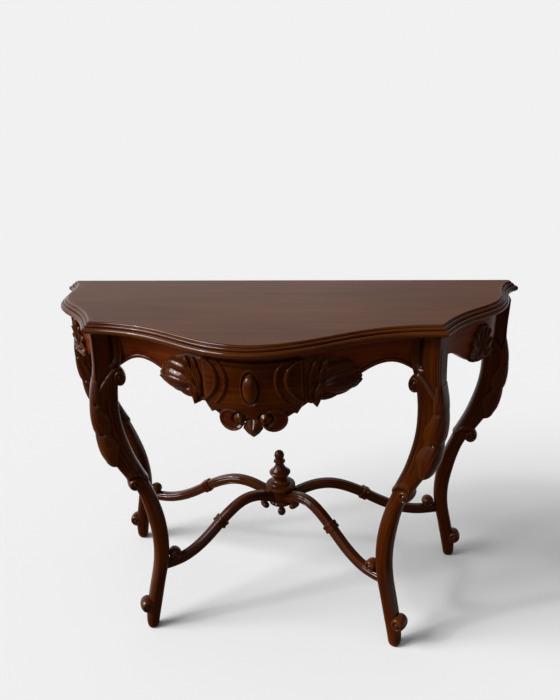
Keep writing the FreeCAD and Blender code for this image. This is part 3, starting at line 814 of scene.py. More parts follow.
@dataclass
class Plan:
    """The top's outline in plan, and the runs that the aprons follow.

    Outline points are shares of half the width and of the depth, from the middle of the front edge.
    """

    width: float = 1150.0
    depth: float = 530.0
    front: Pairs = ((0.0, 0.0), (0.219, 0.076), (0.393, 0.190), (0.557, 0.250), (0.670, 0.263))
    side: Pairs = (
        (0.670, 0.263), (0.722, 0.373), (0.800, 0.480), (0.884, 0.583), (0.926, 0.685),
        (0.941, 0.790), (0.955, 0.862), (0.975, 0.908), (1.0, 0.938),
    )
    corner: Pair = (0.985, 1.0)
    counts: tuple[int, ...] = (190, 130, 8, 60, 8, 130)

    def runs(self) -> list[Array]:
        """The outline in six runs, anticlockwise from the left front corner.

        Returns:
            Each run's points in millimetres.
        """
        scale = np.array([self.width / 2, self.depth])
        flip = np.array([-1, 1])
        half, side, corner = (
            (np.array(points) - (0, 0.5)) * scale for points in (self.front, self.side, [self.corner])
        )
        ear = np.vstack([side[-1:], corner])
        front = np.vstack([half[:0:-1] * flip, half])
        return [front, side, ear, np.vstack([corner, corner * flip]), ear[::-1] * flip, side[::-1] * flip]

    def inset_run(self, number: int, inset: float) -> Array:
        """One run with each of its points moved square to the run, inwards."""
        run = self.runs()[number]
        return run + left_normals(run) * inset

    def outline(self, inset: float) -> Array:
        """The whole outline drawn in, with mitred corners.

        A corner moves by the sum of its two normals times inset / (1 + their dot product).

        Args:
            inset: Distance inwards, in millimetres.

        Returns:
            Points in plan, as many per run as the counts say.
        """
        runs = self.runs()
        ends = [left_normals(run)[[0, -1]] for run in runs]
        moved = [self.inset_run(k, inset) for k in range(len(runs))]
        for k, run in enumerate(runs):
            before, after = ends[k - 1][1], ends[k][0]
            mitre = run[0] + (before + after) * inset / (1 + before @ after)
            moved[k][0] = moved[k - 1][-1] = mitre
        return np.vstack([smooth_run(m, n + 1)[:-1] for m, n in zip(moved, self.counts)])


PLAN = Plan()


@dataclass
class Face:
    """The upright outer face of a curved apron: lengths along it, and its points in plan."""

    along: Array
    plan: Array

    def __post_init__(self) -> None:
        """Work out the outward direction at each point: the run's own direction turned to its right."""
        way = units(np.gradient(self.plan, axis=0))
        self.out = np.stack([way[:, 1], -way[:, 0]], 1)

    def place(self, at: Array, z: Array, proud: Array) -> Array:
        """Points on or off the face.

        Args:
            at: Lengths along the face.
            z: Heights.
            proud: Distances out from the face, square to it.

        Returns:
            Points in millimetres.
        """
        x, y, nx, ny = (
            np.interp(at, self.along, table[:, k]) for table in (self.plan, self.out) for k in (0, 1)
        )
        return np.stack([x + nx * proud, y + ny * proud, z + 0 * x], -1)

    def board(self, at: Array, low: Array, high: float, section: Sequence[Sequence[float]]) -> Skin:
        """A board behind the face: a section carried along it, between a shaped edge and a level top.

        Args:
            at: Lengths along the face.
            low: Height of the lower edge at each.
            high: Height of the top.
            section: Rows of depth behind the face, share of the height, and millimetres above that.

        Returns:
            The closed skin.
        """
        depth, share, above = (column[None] for column in np.array(section).T)
        z = low[:, None] + above + share * (high - low[:, None])
        at = at[:, None] + 0 * z
        return tube(self.place(at, z, 0 * z - depth), np.stack([at, z - depth], -1))

    def boss(
        self,
        outline: Array,
        centre: Sequence[float],
        height: Callable[[Array, Array, Array], Array],
        sink: float = 2.0,
        rows: int = 40,
    ) -> Skin:
        """A carved patch on the face.

        Its rings are the outline drawn towards the centre by a share rho, raised by a height that
        depends on the place and on rho; the last rings turn down the edge and under.

        Args:
            outline: Closed outline along the face and up, in millimetres.
            centre: A point that sees the whole outline.
            height: Gives the height from (along, z, rho).
            sink: Depth of the patch's back in the face.
            rows: Number of rings.

        Returns:
            The closed skin.
        """
        rho = np.linspace(0.02, 1, rows)[:, None]
        under = np.array([[1.0], [0.5]])
        shares = np.vstack([rho, under])
        at, z = (centre[k] + shares * (outline[None, :, k] - centre[k]) for k in (0, 1))
        proud = np.full(at.shape, -sink)
        proud[:rows] = height(at[:rows], z[:rows], rho)
        return tube(self.place(at, z, proud), np.stack([at, z], -1))

    def frond(
        self,
        spine: Pairs,
        width: Callable[[Array], Array],
        height: Callable[[Array, Array], Array],
        rows: int = 48,
        columns: int = 17,
        sink: float = 2.0,
    ) -> Skin:
        """A leaf or ridge along a line on the face.

        Its point at (t, s) lies on the spine at share t, moved sideways by s half widths, and raised
        by a height of t and s; s runs across the top and back underneath.

        Args:
            spine: Points that the spine passes through, along the face and up.
            width: Half width from t.
            height: Height from (t, s).
            rows: Points along the spine.
            columns: Points across it.
            sink: Depth of the underside in the face.

        Returns:
            The closed skin.
        """
        line = smooth_run(np.array(spine, float), rows)
        way = units(np.gradient(line, axis=0))
        t = np.linspace(0, 1, rows)[:, None]
        s = np.concatenate([np.linspace(-1, 1, columns), np.linspace(0.8, -0.8, 5)])[None]
        aside = s * width(t)
        at = line[:, :1] - way[:, 1:] * aside
        z = line[:, 1:] + way[:, :1] * aside
        proud = np.where(np.arange(s.shape[1]) < columns, height(t, s), -sink)
        return tube(self.place(at, z, proud), np.stack([at, z], -1))


@dataclass
class Top:
    """The moulded top: nosing, quirk, step and field, as (inset, height) points of its moulding.

    Faces more than a hair below the field count as moulding, and the shrinks are shares at which rings
    close each face towards its centre.
    """

    profile: Pairs = (
        (7.0, 0.0), (4.2, 0.5), (2.0, 1.7), (0.6, 3.6), (0.0, 6.0), (0.2, 8.4), (1.2, 10.6), (3.0, 12.2),
        (5.2, 13.0), (7.4, 13.1), (8.2, 12.2), (8.9, 12.6), (8.9, 15.0), (9.3, 16.8), (10.4, 18.2),
        (12.0, 18.9), (13.9, 19.1), (14.6, 18.2), (15.2, 18.8), (15.3, 20.4), (15.8, 21.9), (17.0, 23.2),
        (18.6, 23.8), (21.0, 24.0),
    )
    centre: Pair = (0.0, 60.0)
    shrinks: tuple[float, ...] = (0.3, 0.7, 0.97)
    hair: float = 0.05

    def build(self, bench: Bench) -> None:
        """Carry the moulding round the outline, and close both faces to a middle.

        The field has the top's own finish, and the moulding below it is painted as dark as the carving, a
        painted shade on what is the same wood.

        Args:
            bench: What makes the piece.
        """
        rings = [
            np.column_stack([PLAN.outline(inset), np.full(sum(PLAN.counts), UNDERSIDE + z)])
            for inset, z in self.profile
        ]
        middle = np.array([*self.centre, 0.0])
        below, field = (
            [middle + (ring - middle) * (share, share, 1) for share in self.shrinks]
            for ring in (rings[0], rings[-1])
        )
        points = np.stack([*below, *rings, *field[::-1]])
        grain = np.stack([points[..., 0], points[..., 1] + points[..., 2]], -1)
        made = bench.piece("moulded_top", tube(points, grain), TOP, "top")
        # The moulding takes the carving's darker finish: painted shade, as it is the same wood as the field.
        bench.dress_below(made, CARVED, UNDERSIDE + self.profile[-1][1] - self.hair)


@dataclass
class Leg:
    """One S-scroll leg: post, limb, scrolls and leaf.

    Heights are shares of the leg's own height. A station is a height, then its swing, width and depth
    as shares of the full ones. A scroll is its height, reach outwards, radius, height over width, and
    length over the limb's depth. The leaf's stand and wrap go by share from root to tip, and a corner
    is the power of the limb's section. A step, start, stop, slant or fade is where a change begins and
    ends. The bead, hollow, lines and drilled points have a place and a half width, the berry a height
    and a place across, and the two reeds their places across.
    """

    place: str
    post: Pair
    turn: float
    rake: float
    height: float = UNDERSIDE
    swing: float = 88.0
    width: float = 60.0
    depth: float = 50.0
    post_depth: float = 46.0
    stations: tuple[tuple[float, ...], ...] = (
        (0.000, -0.57, 0.44, 0.52), (0.012, -0.57, 0.49, 0.57), (0.060, -0.62, 0.60, 0.66),
        (0.110, -0.71, 0.62, 0.74), (0.170, -0.83, 0.61, 0.78), (0.225, -0.94, 0.62, 0.80),
        (0.285, -1.00, 0.64, 0.81), (0.360, -0.97, 0.67, 0.82), (0.430, -0.86, 0.70, 0.83),
        (0.500, -0.67, 0.73, 0.84), (0.545, -0.49, 0.80, 0.86), (0.600, -0.24, 0.90, 0.90),
        (0.660, -0.04, 0.97, 0.94), (0.720, 0.09, 1.00, 0.97), (0.780, 0.125, 1.00, 1.00),
        (0.840, 0.08, 0.98, 1.00), (0.890, 0.0, 0.98, 1.02), (0.930, -0.045, 1.05, 1.05),
        (0.965, -0.045, 1.05, 1.05), (1.0, -0.045, 1.05, 1.05),
    )
    corners: Pairs = (
        (0.0, 2.4), (0.10, 2.5), (0.45, 2.6), (0.55, 3.0), (0.80, 3.2), (0.87, 4.0), (0.91, 8.0), (1.0, 9.0),
    )
    sole: Pair = (0.016, 0.60)
    scrolls: tuple[tuple[float, ...], ...] = (
        (0.862, -30.0, 15.5, 1.4, 1.02), (0.088, 19.0, 18.5, 1.12, 1.06),
    )
    waist_scroll: tuple[float, ...] = (0.524, 25.0, 17.5, 1.1, 0.95)
    reeds_at: Pair = (-0.12, -0.55)
    reed_half: float = 0.10
    reed_depth: float = 1.3
    reeds_start: Pair = (0.57, 0.61)
    reeds_stop: Pair = (0.78, 0.83)
    waist: Pair = (0.520, 0.034)
    waist_round: float = 0.92
    waist_fade: Pair = (0.36, 0.52)
    waist_step: Pair = (-0.005, 0.003)
    waist_depth: float = 3.0
    bead_at: Pair = (0.009, 0.007)
    bead_rise: float = 1.5
    shoulder: Pair = (0.892, 0.062)
    shoulder_slant: Pair = (-0.6, 0.9)
    shoulder_step: Pair = (-0.0035, 0.0035)
    shoulder_depth: float = 3.6
    post_start: Pair = (0.006, 0.03)
    hollow_at: Pair = (-0.36, 0.20)
    hollow_depth: float = 4.5
    line_at: Pair = (0.62, 0.10)
    line_stop: Pair = (0.962, 0.978)
    line_depth: float = 1.0
    berry_at: Pair = (0.902, -0.3)
    berry_spread: Pair = (150.0, 5.4)
    berry_rise: float = 3.2
    leaf_ends: Pair = (0.868, 0.596)
    leaf_stand: Pairs = (
        (0.0, 0.8), (0.2, 3.6), (0.42, 5.2), (0.55, 6.2), (0.60, 4.6), (0.66, 7.5), (0.85, 14.0),
        (0.95, 15.5), (0.985, 12.0), (1.0, 4.0),
    )
    leaf_wrap: Pairs = ((0.0, 62.0), (0.2, 82.0), (0.5, 96.0), (0.75, 96.0), (0.92, 84.0), (1.0, 52.0))
    leaf_lobes: float = 3.0
    lobe_phase: float = 0.2
    lobe_bite: float = 0.12
    lobe_swell: float = 0.20
    crease_from: float = 0.34
    crease_run: float = 0.40
    crease_half: float = 0.08
    crease_start: Pair = (0.05, 0.15)
    crease_stop: Pair = (0.86, 0.95)
    crease_depth: float = 0.9
    drill_at: Pair = (0.74, 0.13)
    drill_half: float = 0.016
    drill_start: Pair = (0.1, 0.2)
    drill_stop: Pair = (0.9, 0.95)
    drill_depth: float = 2.6
    leaf_lift: float = 0.4
    leaf_sink: float = 3.5

    def __post_init__(self) -> None:
        """Work out the leg's own level directions: outwards, and across."""
        turn = math.radians(self.turn)
        self.out = np.array([math.cos(turn), -math.sin(turn), 0.0])
        self.across = np.array([-self.out[1], self.out[0], 0.0])

    def sizes(self, share: Array) -> tuple[Array, Array, Array]:
        """Splines through the stations, leaned by the rake.

        Args:
            share: Heights as shares.

        Returns:
            Centre line, half widths and half depths, in millimetres.
        """
        table = np.array(self.stations)
        full = (self.swing, self.width, self.depth)
        swing, width, depth = (spline_at(table[:, 0], table[:, 1:], share) * full).T
        lean = np.stack([0 * share, self.rake * (1 - share), self.height * share], 1)
        centre = np.array([*self.post, 0.0]) + self.out * swing[:, None] + lean
        return centre, width / 2, depth / 2

    def limb(self, rows: int = 330) -> Skin:
        """Foot, limb and post in one: a rounded section with carved depths, carried up the centre line.

        The sole is rounded off by a quarter of an oval.

        Args:
            rows: Rings between the sole and the post's top.

        Returns:
            The closed skin.
        """
        near_sole = [0.0, 0.001, 0.003, 0.006]
        share = np.concatenate([near_sole, np.linspace(0.009, 0.9985, rows), [1.0]])
        centre, half_w, half_d = self.sizes(share)
        round_to, least = self.sole
        sole = least + (1 - least) * np.sqrt(1 - (1 - np.clip(share / round_to, 0, 1)) ** 2)
        section = Section(132)
        power = np.interp(share, *zip(*self.corners))
        u, v = section.at(half_w * sole, half_d * sole, self.carved(share[:, None], section), power)
        return swept(centre, self.out, self.across, u, v)

    def carved(self, share: Array, section: Section) -> Array:
        """Depth carved into the limb, in millimetres.

        Two reeds on the upper limb; a step and a bead at the waist, where the upper limb ends in an
        arch over the lower one; a slanting shoulder at the knee; and on the post a hollow and a berry
        on the sides and fine lines near the edges.

        Args:
            share: Heights as shares, one row each.
            section: The limb's section.

        Returns:
            Depths shaped (rings, columns).
        """
        outward, flank = section.u[None], section.on_v[None]
        reeds = self.reed_depth * flank * sum(hump(outward, at, self.reed_half) for at in self.reeds_at)
        reeds = reeds * ramp(share, *self.reeds_start) * (1 - ramp(share, *self.reeds_stop))
        arch = self.waist[0] + self.waist[1] * np.sqrt(1 - self.waist_round * outward**2)
        shoulder = self.shoulder[0] - self.shoulder[1] * ramp(outward, *self.shoulder_slant)
        above_waist, above_shoulder, on_post = (
            ramp(share, line + low, line + high)
            for line, (low, high) in (
                (arch, self.waist_step), (shoulder, self.shoulder_step), (shoulder, self.post_start),
            )
        )
        waist = self.waist_depth * (1 - above_waist) * ramp(share, *self.waist_fade)
        waist = waist - self.bead_rise * hump(share, arch + self.bead_at[0], self.bead_at[1])
        step = self.shoulder_depth * flank * above_shoulder
        hollow = self.hollow_depth * flank * hump(outward, *self.hollow_at) * on_post
        lines = self.line_depth * (1 - flank) * hump(abs(section.place[None]), *self.line_at)
        lines = lines * on_post * (1 - ramp(share, *self.line_stop))
        up, aside = share - self.berry_at[0], outward - self.berry_at[1]
        from_berry = np.hypot(up * self.berry_spread[0], aside * self.berry_spread[1])
        berry = self.berry_rise * flank * hump(from_berry, 0.0, 1.0)
        return reeds + waist + step + hollow + lines - berry

    def leaf(self, rows: int = 150, columns: int = 67) -> Skin:
        """The leaf wrapped over the outside of the knee.

        At share t from root to tip its section runs round the limb's own outline by an angle either
        side of outwards, scalloped into lobes. It stands off the limb by its stand, swollen in each
        lobe, creased along it, drilled between lobes, rounded to its edge and tip.

        Args:
            rows: Rings from root to tip.
            columns: Points across the outside.

        Returns:
            The closed skin.
        """
        root, tip = self.leaf_ends
        t = np.linspace(0, 1, rows)[:, None]
        s = np.concatenate([np.linspace(-1, 1, columns), np.linspace(0.9, -0.9, 11)])[None]
        share = (root + (tip - root) * t)[:, 0]
        centre, half_w, half_d = self.sizes(share)
        phase = self.leaf_lobes * t + self.lobe_phase
        lobe = abs(np.sin(np.pi * phase))
        scallop = 1 - self.lobe_bite + self.lobe_bite * lobe**0.7
        turn = s * np.radians(np.interp(t, *zip(*self.leaf_wrap))) * scallop
        fold = 2 / np.interp(share, *zip(*self.corners))[:, None]
        u, v = (np.sign(f) * abs(f) ** fold for f in (np.cos(turn), np.sin(turn)))
        swell = np.interp(t, *zip(*self.leaf_stand)) * (1 - self.lobe_swell + self.lobe_swell * lobe)
        rise = swell * (1 - 0.5 * abs(s) ** 2.5) * np.sqrt(1 - 0.97 * abs(s) ** 6)
        crease = hump(abs(s) - self.crease_from - self.crease_run * (phase % 1.0), 0.0, self.crease_half)
        crease = crease * ramp(t, *self.crease_start) * (1 - ramp(t, *self.crease_stop))
        from_notch = ((phase + 0.5) % 1.0 - 0.5) / self.leaf_lobes
        drilled = hump(from_notch, 0.0, self.drill_half) * hump(abs(s), *self.drill_at)
        drilled = drilled * ramp(t, *self.drill_start) * (1 - ramp(t, *self.drill_stop))
        rise = rise - self.crease_depth * crease - self.drill_depth * drilled + self.leaf_lift
        rise = np.where(np.arange(s.shape[1]) < columns, rise, -self.leaf_sink)
        out_u, out_v = u, v * np.clip(half_w / half_d, 0.9, 1.2)[:, None]
        rise = rise / np.hypot(out_u, out_v)
        u, v = u * half_w[:, None] + out_u * rise, v * half_d[:, None] + out_v * rise
        return swept(centre, self.out, self.across, u, v)

    def ends(self) -> list[Skin]:
        """The three scroll ends, across the limb and proud of both its faces.

        Returns:
            One closed skin each.
        """
        made = []
        for share, reach, radius, tall, wide in (*self.scrolls, self.waist_scroll):
            centre, _, half_d = self.sizes(np.array([share]))
            scroll = Volute(radius, half_d[0] * wide, tall=tall)
            made.append(scroll.skin(centre[0] + self.out * reach, self.across))
        return made

    def build(self, bench: Bench) -> None:
        """Make the leg on both sides.

        Args:
            bench: What makes the pieces.
        """
        skin = joined([self.limb(), self.leaf(), *self.ends()])
        for side in Side:
            name = f"{self.place}_{side.value}"
            bench.piece(f"{name}_scroll_leg", skin.on(side), CARVED, f"{name}_leg")


FRONT_LEG = Leg("front", (356.25, -84.61), 28.0, -118.0, waist_scroll=(0.526, 13.0, 16.5, 1.1, 1.10))
BACK_LEG = Leg("back", (521.0, 178.0), 0.0, 26.0)


@dataclass
class FrontApron:
    """The bowed front board with its arched, beaded lower edge.

    The arch is (share of the half span, share of the drop), and the bead is (depth behind the face,
    height above the edge).
    """

    inset: float = 42.0
    thickness: float = 24.0
    drop: float = 148.0
    span: float = 328.25
    tenon: float = 12.0
    chamfer: float = 2.0
    arch: Pairs = (
        (0.0, 1.0), (0.20, 0.98), (0.34, 0.80), (0.54, 0.66), (0.68, 0.50), (0.88, 0.43), (1.0, 0.58),
    )
    bead: Pairs = (
        (0.0, 16.0), (0.0, 12.0), (0.9, 10.6), (0.6, 9.8), (-1.2, 9.0), (-2.2, 7.2), (-2.4, 5.2),
        (-1.9, 3.0), (-0.6, 1.2), (1.2, 0.3), (3.5, 0.0),
    )

    def face(self) -> Face:
        """The board's front, measured along X."""
        run = smooth_run(PLAN.inset_run(0, self.inset), 400)
        return Face(run[:, 0], run)

    def lower_edge(self, x: Array) -> Array:
        """Height of the arched edge, a spline through the arch and its mirror image.

        Args:
            x: Places along the front, in millimetres.

        Returns:
            Heights in millimetres.
        """
        half = np.array(self.arch)
        table = np.vstack([half[:0:-1] * (-1, 1), half])
        return UNDERSIDE - self.drop * through(table, x / self.span)

    def build(self, bench: Bench) -> None:
        """Carry the board's section, with a bead above its lower edge, along the bow.

        Args:
            bench: What makes the piece.
        """
        reach, back = self.span + self.tenon, self.thickness
        x = np.linspace(-reach, reach, 260)
        low = self.lower_edge(np.clip(x, -self.span, self.span))
        section = [(0.0, share, 0.0) for share in (1.0, 0.75, 0.5, 0.25)]
        section += [(depth, 0.0, above) for depth, above in self.bead]
        section += [(back - self.chamfer, 0.0, 0.0), (back, 0.0, self.chamfer)]
        section += [(back, share, 0.0) for share in (0.5, 1.0)]
        skin = self.face().board(x, low, UNDERSIDE, section)
        bench.piece("front_board", skin, BOARD, "front_apron")


FRONT = FrontApron()


@dataclass
class SideApron:
    """The side boards between the posts, each with a fluted shell.

    The arch is (share from the front post, share of the drop), and the edge is (depth, height) points
    of the lower edge's rounding.
    """

    inset: float = 24.0
    thickness: float = 20.0
    drop: float = 108.0
    arch: Pairs = (
        (0.0, 0.54), (0.15, 0.57), (0.36, 0.84), (0.54, 1.0), (0.71, 0.85), (0.89, 0.57), (1.0, 0.54),
    )
    edge: Pairs = ((0.0, 2.4), (0.6, 0.6), (2.4, 0.0))
    tenon_share: float = 0.07
    shell_half: float = 40.0
    shell_shift: float = 8.0
    shell_drop: float = 90.0
    shell_gap: float = 18.0
    shell_open: float = 0.75
    shell_root: float = 0.45
    shell_edge: float = 3.5
    shell_dish: float = 3.5
    shell_eye: float = 4.5
    ribs: int = 7
    rib_rise: float = 4.4
    rib_bite: float = 0.10

    def ends(self) -> tuple[Array, Array]:
        """Where the board's middle line meets the two posts.

        Returns:
            The two points in plan.
        """
        run = smooth_run(PLAN.inset_run(1, self.inset + self.thickness / 2), 600)
        front, back = ((run - np.array(leg.post)) @ leg.across[:2] for leg in (FRONT_LEG, BACK_LEG))
        start = np.argmax(front > FRONT_LEG.post_depth / 2)
        end = np.argmax(back > -BACK_LEG.post_depth / 2)
        return run[start], run[end]

    def face(self) -> tuple[Face, Array]:
        """The board's outer face, measured along its curve from the chord's middle.

        Returns:
            The face, and the share of the chord at each of its points.
        """
        run = smooth_run(PLAN.inset_run(1, self.inset), 500)
        start, end = self.ends()
        chord = end - start
        share = (run - start) @ chord / (chord @ chord)
        keep = (share > -self.tenon_share) & (share < 1 + self.tenon_share)
        run, share = run[keep], share[keep]
        along = chord_knots(run)
        return Face(along - np.interp(0.5, share, along), run), share

    def board(self) -> Skin:
        """The board: its section between the top and the shaped edge, carried along the curve.

        Returns:
            The closed skin of the right-hand board.
        """
        face, share = self.face()
        pick = np.linspace(0, len(share) - 1, 150).astype(int)
        low = UNDERSIDE - self.drop * through(self.arch, np.clip(share[pick], 0, 1))
        back = self.thickness
        section = [(0.0, level, 0.0) for level in (1.0, 0.75, 0.5, 0.25)]
        section += [(depth, 0.0, above) for depth, above in self.edge]
        section += [(back - depth, 0.0, above) for depth, above in self.edge[::-1]]
        section += [(back, level, 0.0) for level in (0.3, 0.6, 1.0)]
        return face.board(face.along[pick], low, UNDERSIDE, section)

    def shell(self) -> Skin:
        """A fan of flutes that opens upwards: its reach and its height both swing with the angle.

        Returns:
            The closed skin of the right-hand shell.
        """
        turn = np.linspace(-self.shell_open, np.pi + self.shell_open, 190)
        swing = (1 + np.cos(2 * self.ribs * (turn - np.pi / 2) + np.pi)) / 2
        reach = 1 - self.rib_bite + self.rib_bite * swing
        root = np.array([self.shell_shift, UNDERSIDE - self.shell_drop])
        rise = np.where(np.sin(turn) > 0, self.shell_drop - self.shell_gap, self.shell_root * self.shell_half)
        way = np.stack([np.cos(turn) * reach * self.shell_half, np.sin(turn) * reach * rise], 1)

        def height(at: Array, z: Array, rho: Array) -> Array:
            """Ribs that grow from the root, dished in the middle and turned up at the rim.

            Args:
                at: Lengths along the face, which don't count here.
                z: Heights, which don't count here.
                rho: Share of the outline.

            Returns:
                Distances out from the face.
            """
            ridge = self.rib_rise * swing[None] ** 1.5 * ramp(rho, 0.10, 0.5)
            dish = self.shell_edge + self.shell_dish * rho**2 + self.shell_eye * (1 - ramp(rho, 0.08, 0.20))
            return (dish + ridge) * (1 - ramp(rho, 0.94, 1.0) * 0.5)

        return self.face()[0].boss(root + way, root, height, rows=44)

    def build(self, bench: Bench) -> None:
        """Make both boards and both shells.

        Args:
            bench: What makes the pieces.
        """
        board, shell = self.board(), self.shell()
        for side in Side:
            hand = side.value
            bench.piece(f"{hand}_side_board", board.on(side), BOARD, f"{hand}_side_apron")
            bench.piece(f"{hand}_fluted_shell", shell.on(side), CARVED, f"{hand}_shell")


@dataclass
class Arm:
    """One moulded arm of the stretcher, which rises in an S from its leg to the hub.

    Stations are (share of the way from hub to leg, share of the rise), and the collar's shape is
    (place along the arm, swell).
    """

    leg: Leg
    hub_radius: float = 29.0
    leg_z: float = 170.0
    hub_z: float = 282.0
    half_wide: float = 12.0
    half_high: float = 13.5
    side_hollow: float = 1.9
    cap_hollow: float = 0.5
    bar_power: float = 3.2
    stations: Pairs = (
        (0.0, 0.76), (0.09, 0.90), (0.20, 1.04), (0.30, 1.04), (0.40, 0.90), (0.50, 0.67), (0.61, 0.38),
        (0.71, 0.17), (0.81, 0.04), (0.91, 0.0), (1.0, 0.01),
    )
    collar_shape: Pairs = (
        (-11.0, -2.0), (-10.4, 2.2), (-9.4, 2.7), (-2.0, 2.7), (-1.2, 1.5), (1.2, 1.5), (2.0, 2.7),
        (9.4, 2.7), (10.4, 2.2), (11.0, -2.0),
    )
    collar_power: float = 6.0
    knob: Volute = Volute(16.0, 14.5, 2.0, 1.4)
    knob_back: float = 42.0
    knob_up: float = 24.0
    curl: Volute = Volute(9.0, 13.5, 1.6, 1.2)
    curl_out: float = 20.0
    curl_down: float = 29.0

    def __post_init__(self) -> None:
        """Work out the way from the hub's axis to the leg: its length, level direction and the one across."""
        self.hub = np.array([0.0, HUB_Y, 0.0])
        target = self.leg.sizes(np.array([self.leg_z / self.leg.height]))[0][0]
        run = (target - self.hub) * (1, 1, 0)
        self.length = float(np.linalg.norm(run))
        self.along = run / self.length
        self.across = np.array([-self.along[1], self.along[0], 0.0])

    def path(self, rows: int) -> tuple[Array, Array, Array]:
        """The centre line: a spline through the stations, in the upright plane of the arm's way.

        Args:
            rows: Number of points before those inside the hub are left out.

        Returns:
            Points on the line, and the directions across and up, square to it.
        """
        table = np.array(self.stations)
        rise = self.hub_z - self.leg_z
        line = smooth_run(np.column_stack([table[:, 0] * self.length, self.leg_z + rise * table[:, 1]]), rows)
        line = line[line[:, 0] > self.hub_radius / 2]
        way = units(np.gradient(line, axis=0))
        points = self.hub + self.along * line[:, :1] + UP * line[:, 1:]
        return points, np.broadcast_to(self.across, points.shape), UP * way[:, :1] - self.along * way[:, 1:]

    def bar(self) -> Skin:
        """The bar: a rounded section with a hollow between two edge mouldings, carried along the S.

        Returns:
            The closed skin.
        """
        points, across, up = self.path(150)
        section = Section(72)
        side = self.side_hollow * hump(abs(section.place), 0.50, 0.12) * section.on_u
        cap = self.cap_hollow * hump(section.place, 0.0, 0.34) * section.on_v
        ones = np.ones(len(points))
        sunk = (side + cap) * ones[:, None]
        u, v = section.at(self.half_wide * ones, self.half_high * ones, sunk, self.bar_power)
        return swept(points, across, up, u, v)

    def collar(self, rows: int = 900, rings: int = 45) -> Skin:
        """The collar half way along: a square-edged block with a quirk round its middle.

        Args:
            rows: Points along the whole arm to pick the collar's rings from.
            rings: Number of rings.

        Returns:
            The closed skin.
        """
        points, across, up = self.path(rows)
        middle = int(np.argmin(abs(np.linspace(0, 1, rows)[-len(points) :] - 0.5)))
        gap = np.linalg.norm(points[middle + 1] - points[middle])
        reach = np.linspace(self.collar_shape[0][0], self.collar_shape[-1][0], rings)
        pick = middle + np.round(reach / gap).astype(int)
        swell = np.interp(reach, *zip(*self.collar_shape))
        section = Section(56)
        flush = np.zeros((rings, section.columns))
        u, v = section.at(self.half_wide + swell, self.half_high + swell, flush, self.collar_power)
        return swept(points[pick], across[pick], up[pick], u, v)

    def skin(self) -> Skin:
        """The whole arm, with the knob on top beside the leg and the curl under it beside the hub.

        Returns:
            Its closed skins.
        """
        knob_at = self.hub + self.along * (self.length - self.knob_back) + UP * (self.leg_z + self.knob_up)
        curl_at = self.hub + self.along * (self.hub_radius + self.curl_out) + UP * (self.hub_z - self.curl_down)
        scrolls = [self.knob.skin(knob_at, self.across), self.curl.skin(curl_at, self.across)]
        return joined([self.bar(), self.collar(), *scrolls])


@dataclass
class Stretcher:
    """Four arms, the turned hub, its finial and its drop, whose profiles are (radius, height)."""

    hub_profile: Pairs = (
        (8.0, 244.0), (29.0, 244.0), (32.0, 246.5), (32.5, 249.0), (30.0, 251.5), (28.0, 254.0),
        (27.5, 258.0), (27.5, 284.0), (28.5, 288.0), (32.0, 290.5), (37.0, 292.0), (39.4, 295.0),
        (39.8, 299.0), (38.4, 302.5), (33.0, 304.5), (27.0, 305.0), (26.0, 306.0), (26.6, 309.0),
        (26.0, 312.0), (22.0, 313.2), (8.0, 313.2),
    )
    finial_profile: Pairs = (
        (6.0, 304.0), (20.4, 304.0), (21.4, 306.0), (21.4, 313.0), (19.6, 316.0), (16.8, 318.4),
        (17.4, 322.0), (21.2, 327.0), (25.2, 332.0), (27.8, 336.4), (28.0, 338.8), (26.6, 340.4),
        (21.8, 344.6), (16.6, 350.4), (12.4, 357.6), (10.2, 364.0), (10.4, 366.6), (14.2, 367.8),
        (15.6, 370.4), (14.4, 373.4), (10.2, 375.0), (9.2, 377.4), (9.8, 379.4), (12.0, 382.4),
        (13.0, 387.0), (12.6, 391.6), (10.8, 396.2), (7.4, 400.0), (3.0, 402.0),
    )
    drop_profile: Pairs = (
        (2.0, 200.2), (5.6, 201.4), (9.0, 204.6), (10.9, 209.4), (11.0, 213.6), (9.6, 218.4), (7.4, 222.0),
        (6.8, 226.0), (6.8, 232.0), (8.0, 237.0), (13.6, 239.6), (17.4, 241.4), (18.0, 244.0),
        (17.2, 247.0), (8.0, 248.0),
    )

    def build(self, bench: Bench) -> None:
        """Make the arms and the turnings.

        Args:
            bench: What makes the pieces.
        """
        for leg in (FRONT_LEG, BACK_LEG):
            skin = Arm(leg).skin()
            for side in Side:
                name = f"{leg.place}_{side.value}"
                bench.piece(f"{name}_arm", skin.on(side), CARVED, f"{name}_stretcher_arm")
        for name, profile, node in (
            ("turned_hub", self.hub_profile, "stretcher_hub"),
            ("turned_finial", self.finial_profile, "finial"),
            ("turned_drop", self.drop_profile, "hub_drop"),
        ):
            bench.piece(name, turned(profile, HUB_Y), CARVED, node)


@dataclass(frozen=True)
class Dome:
    """A smooth oval: the height of its edge plus a rise times the root of 1 - rho squared.

    Its length and width are halves, and its tilt is in degrees from level.
    """

    centre: Pair
    long: float
    wide: float
    tilt: float
    edge: float
    rise: float
    sink: float = 2.0
    columns: int = 96
    rows: int = 28

    def height(self, x: Array, z: Array, rho: Array) -> Array:
        """The dome's height from the share rho of its outline."""
        return self.edge + self.rise * np.sqrt(1.02 - rho**2)

    def skin(self, face: Face) -> Skin:
        """The closed skin on a face."""
        outline = oval(self.centre, self.long, self.wide, self.tilt, self.columns)
        return face.boss(outline, self.centre, self.height, self.sink, self.rows)


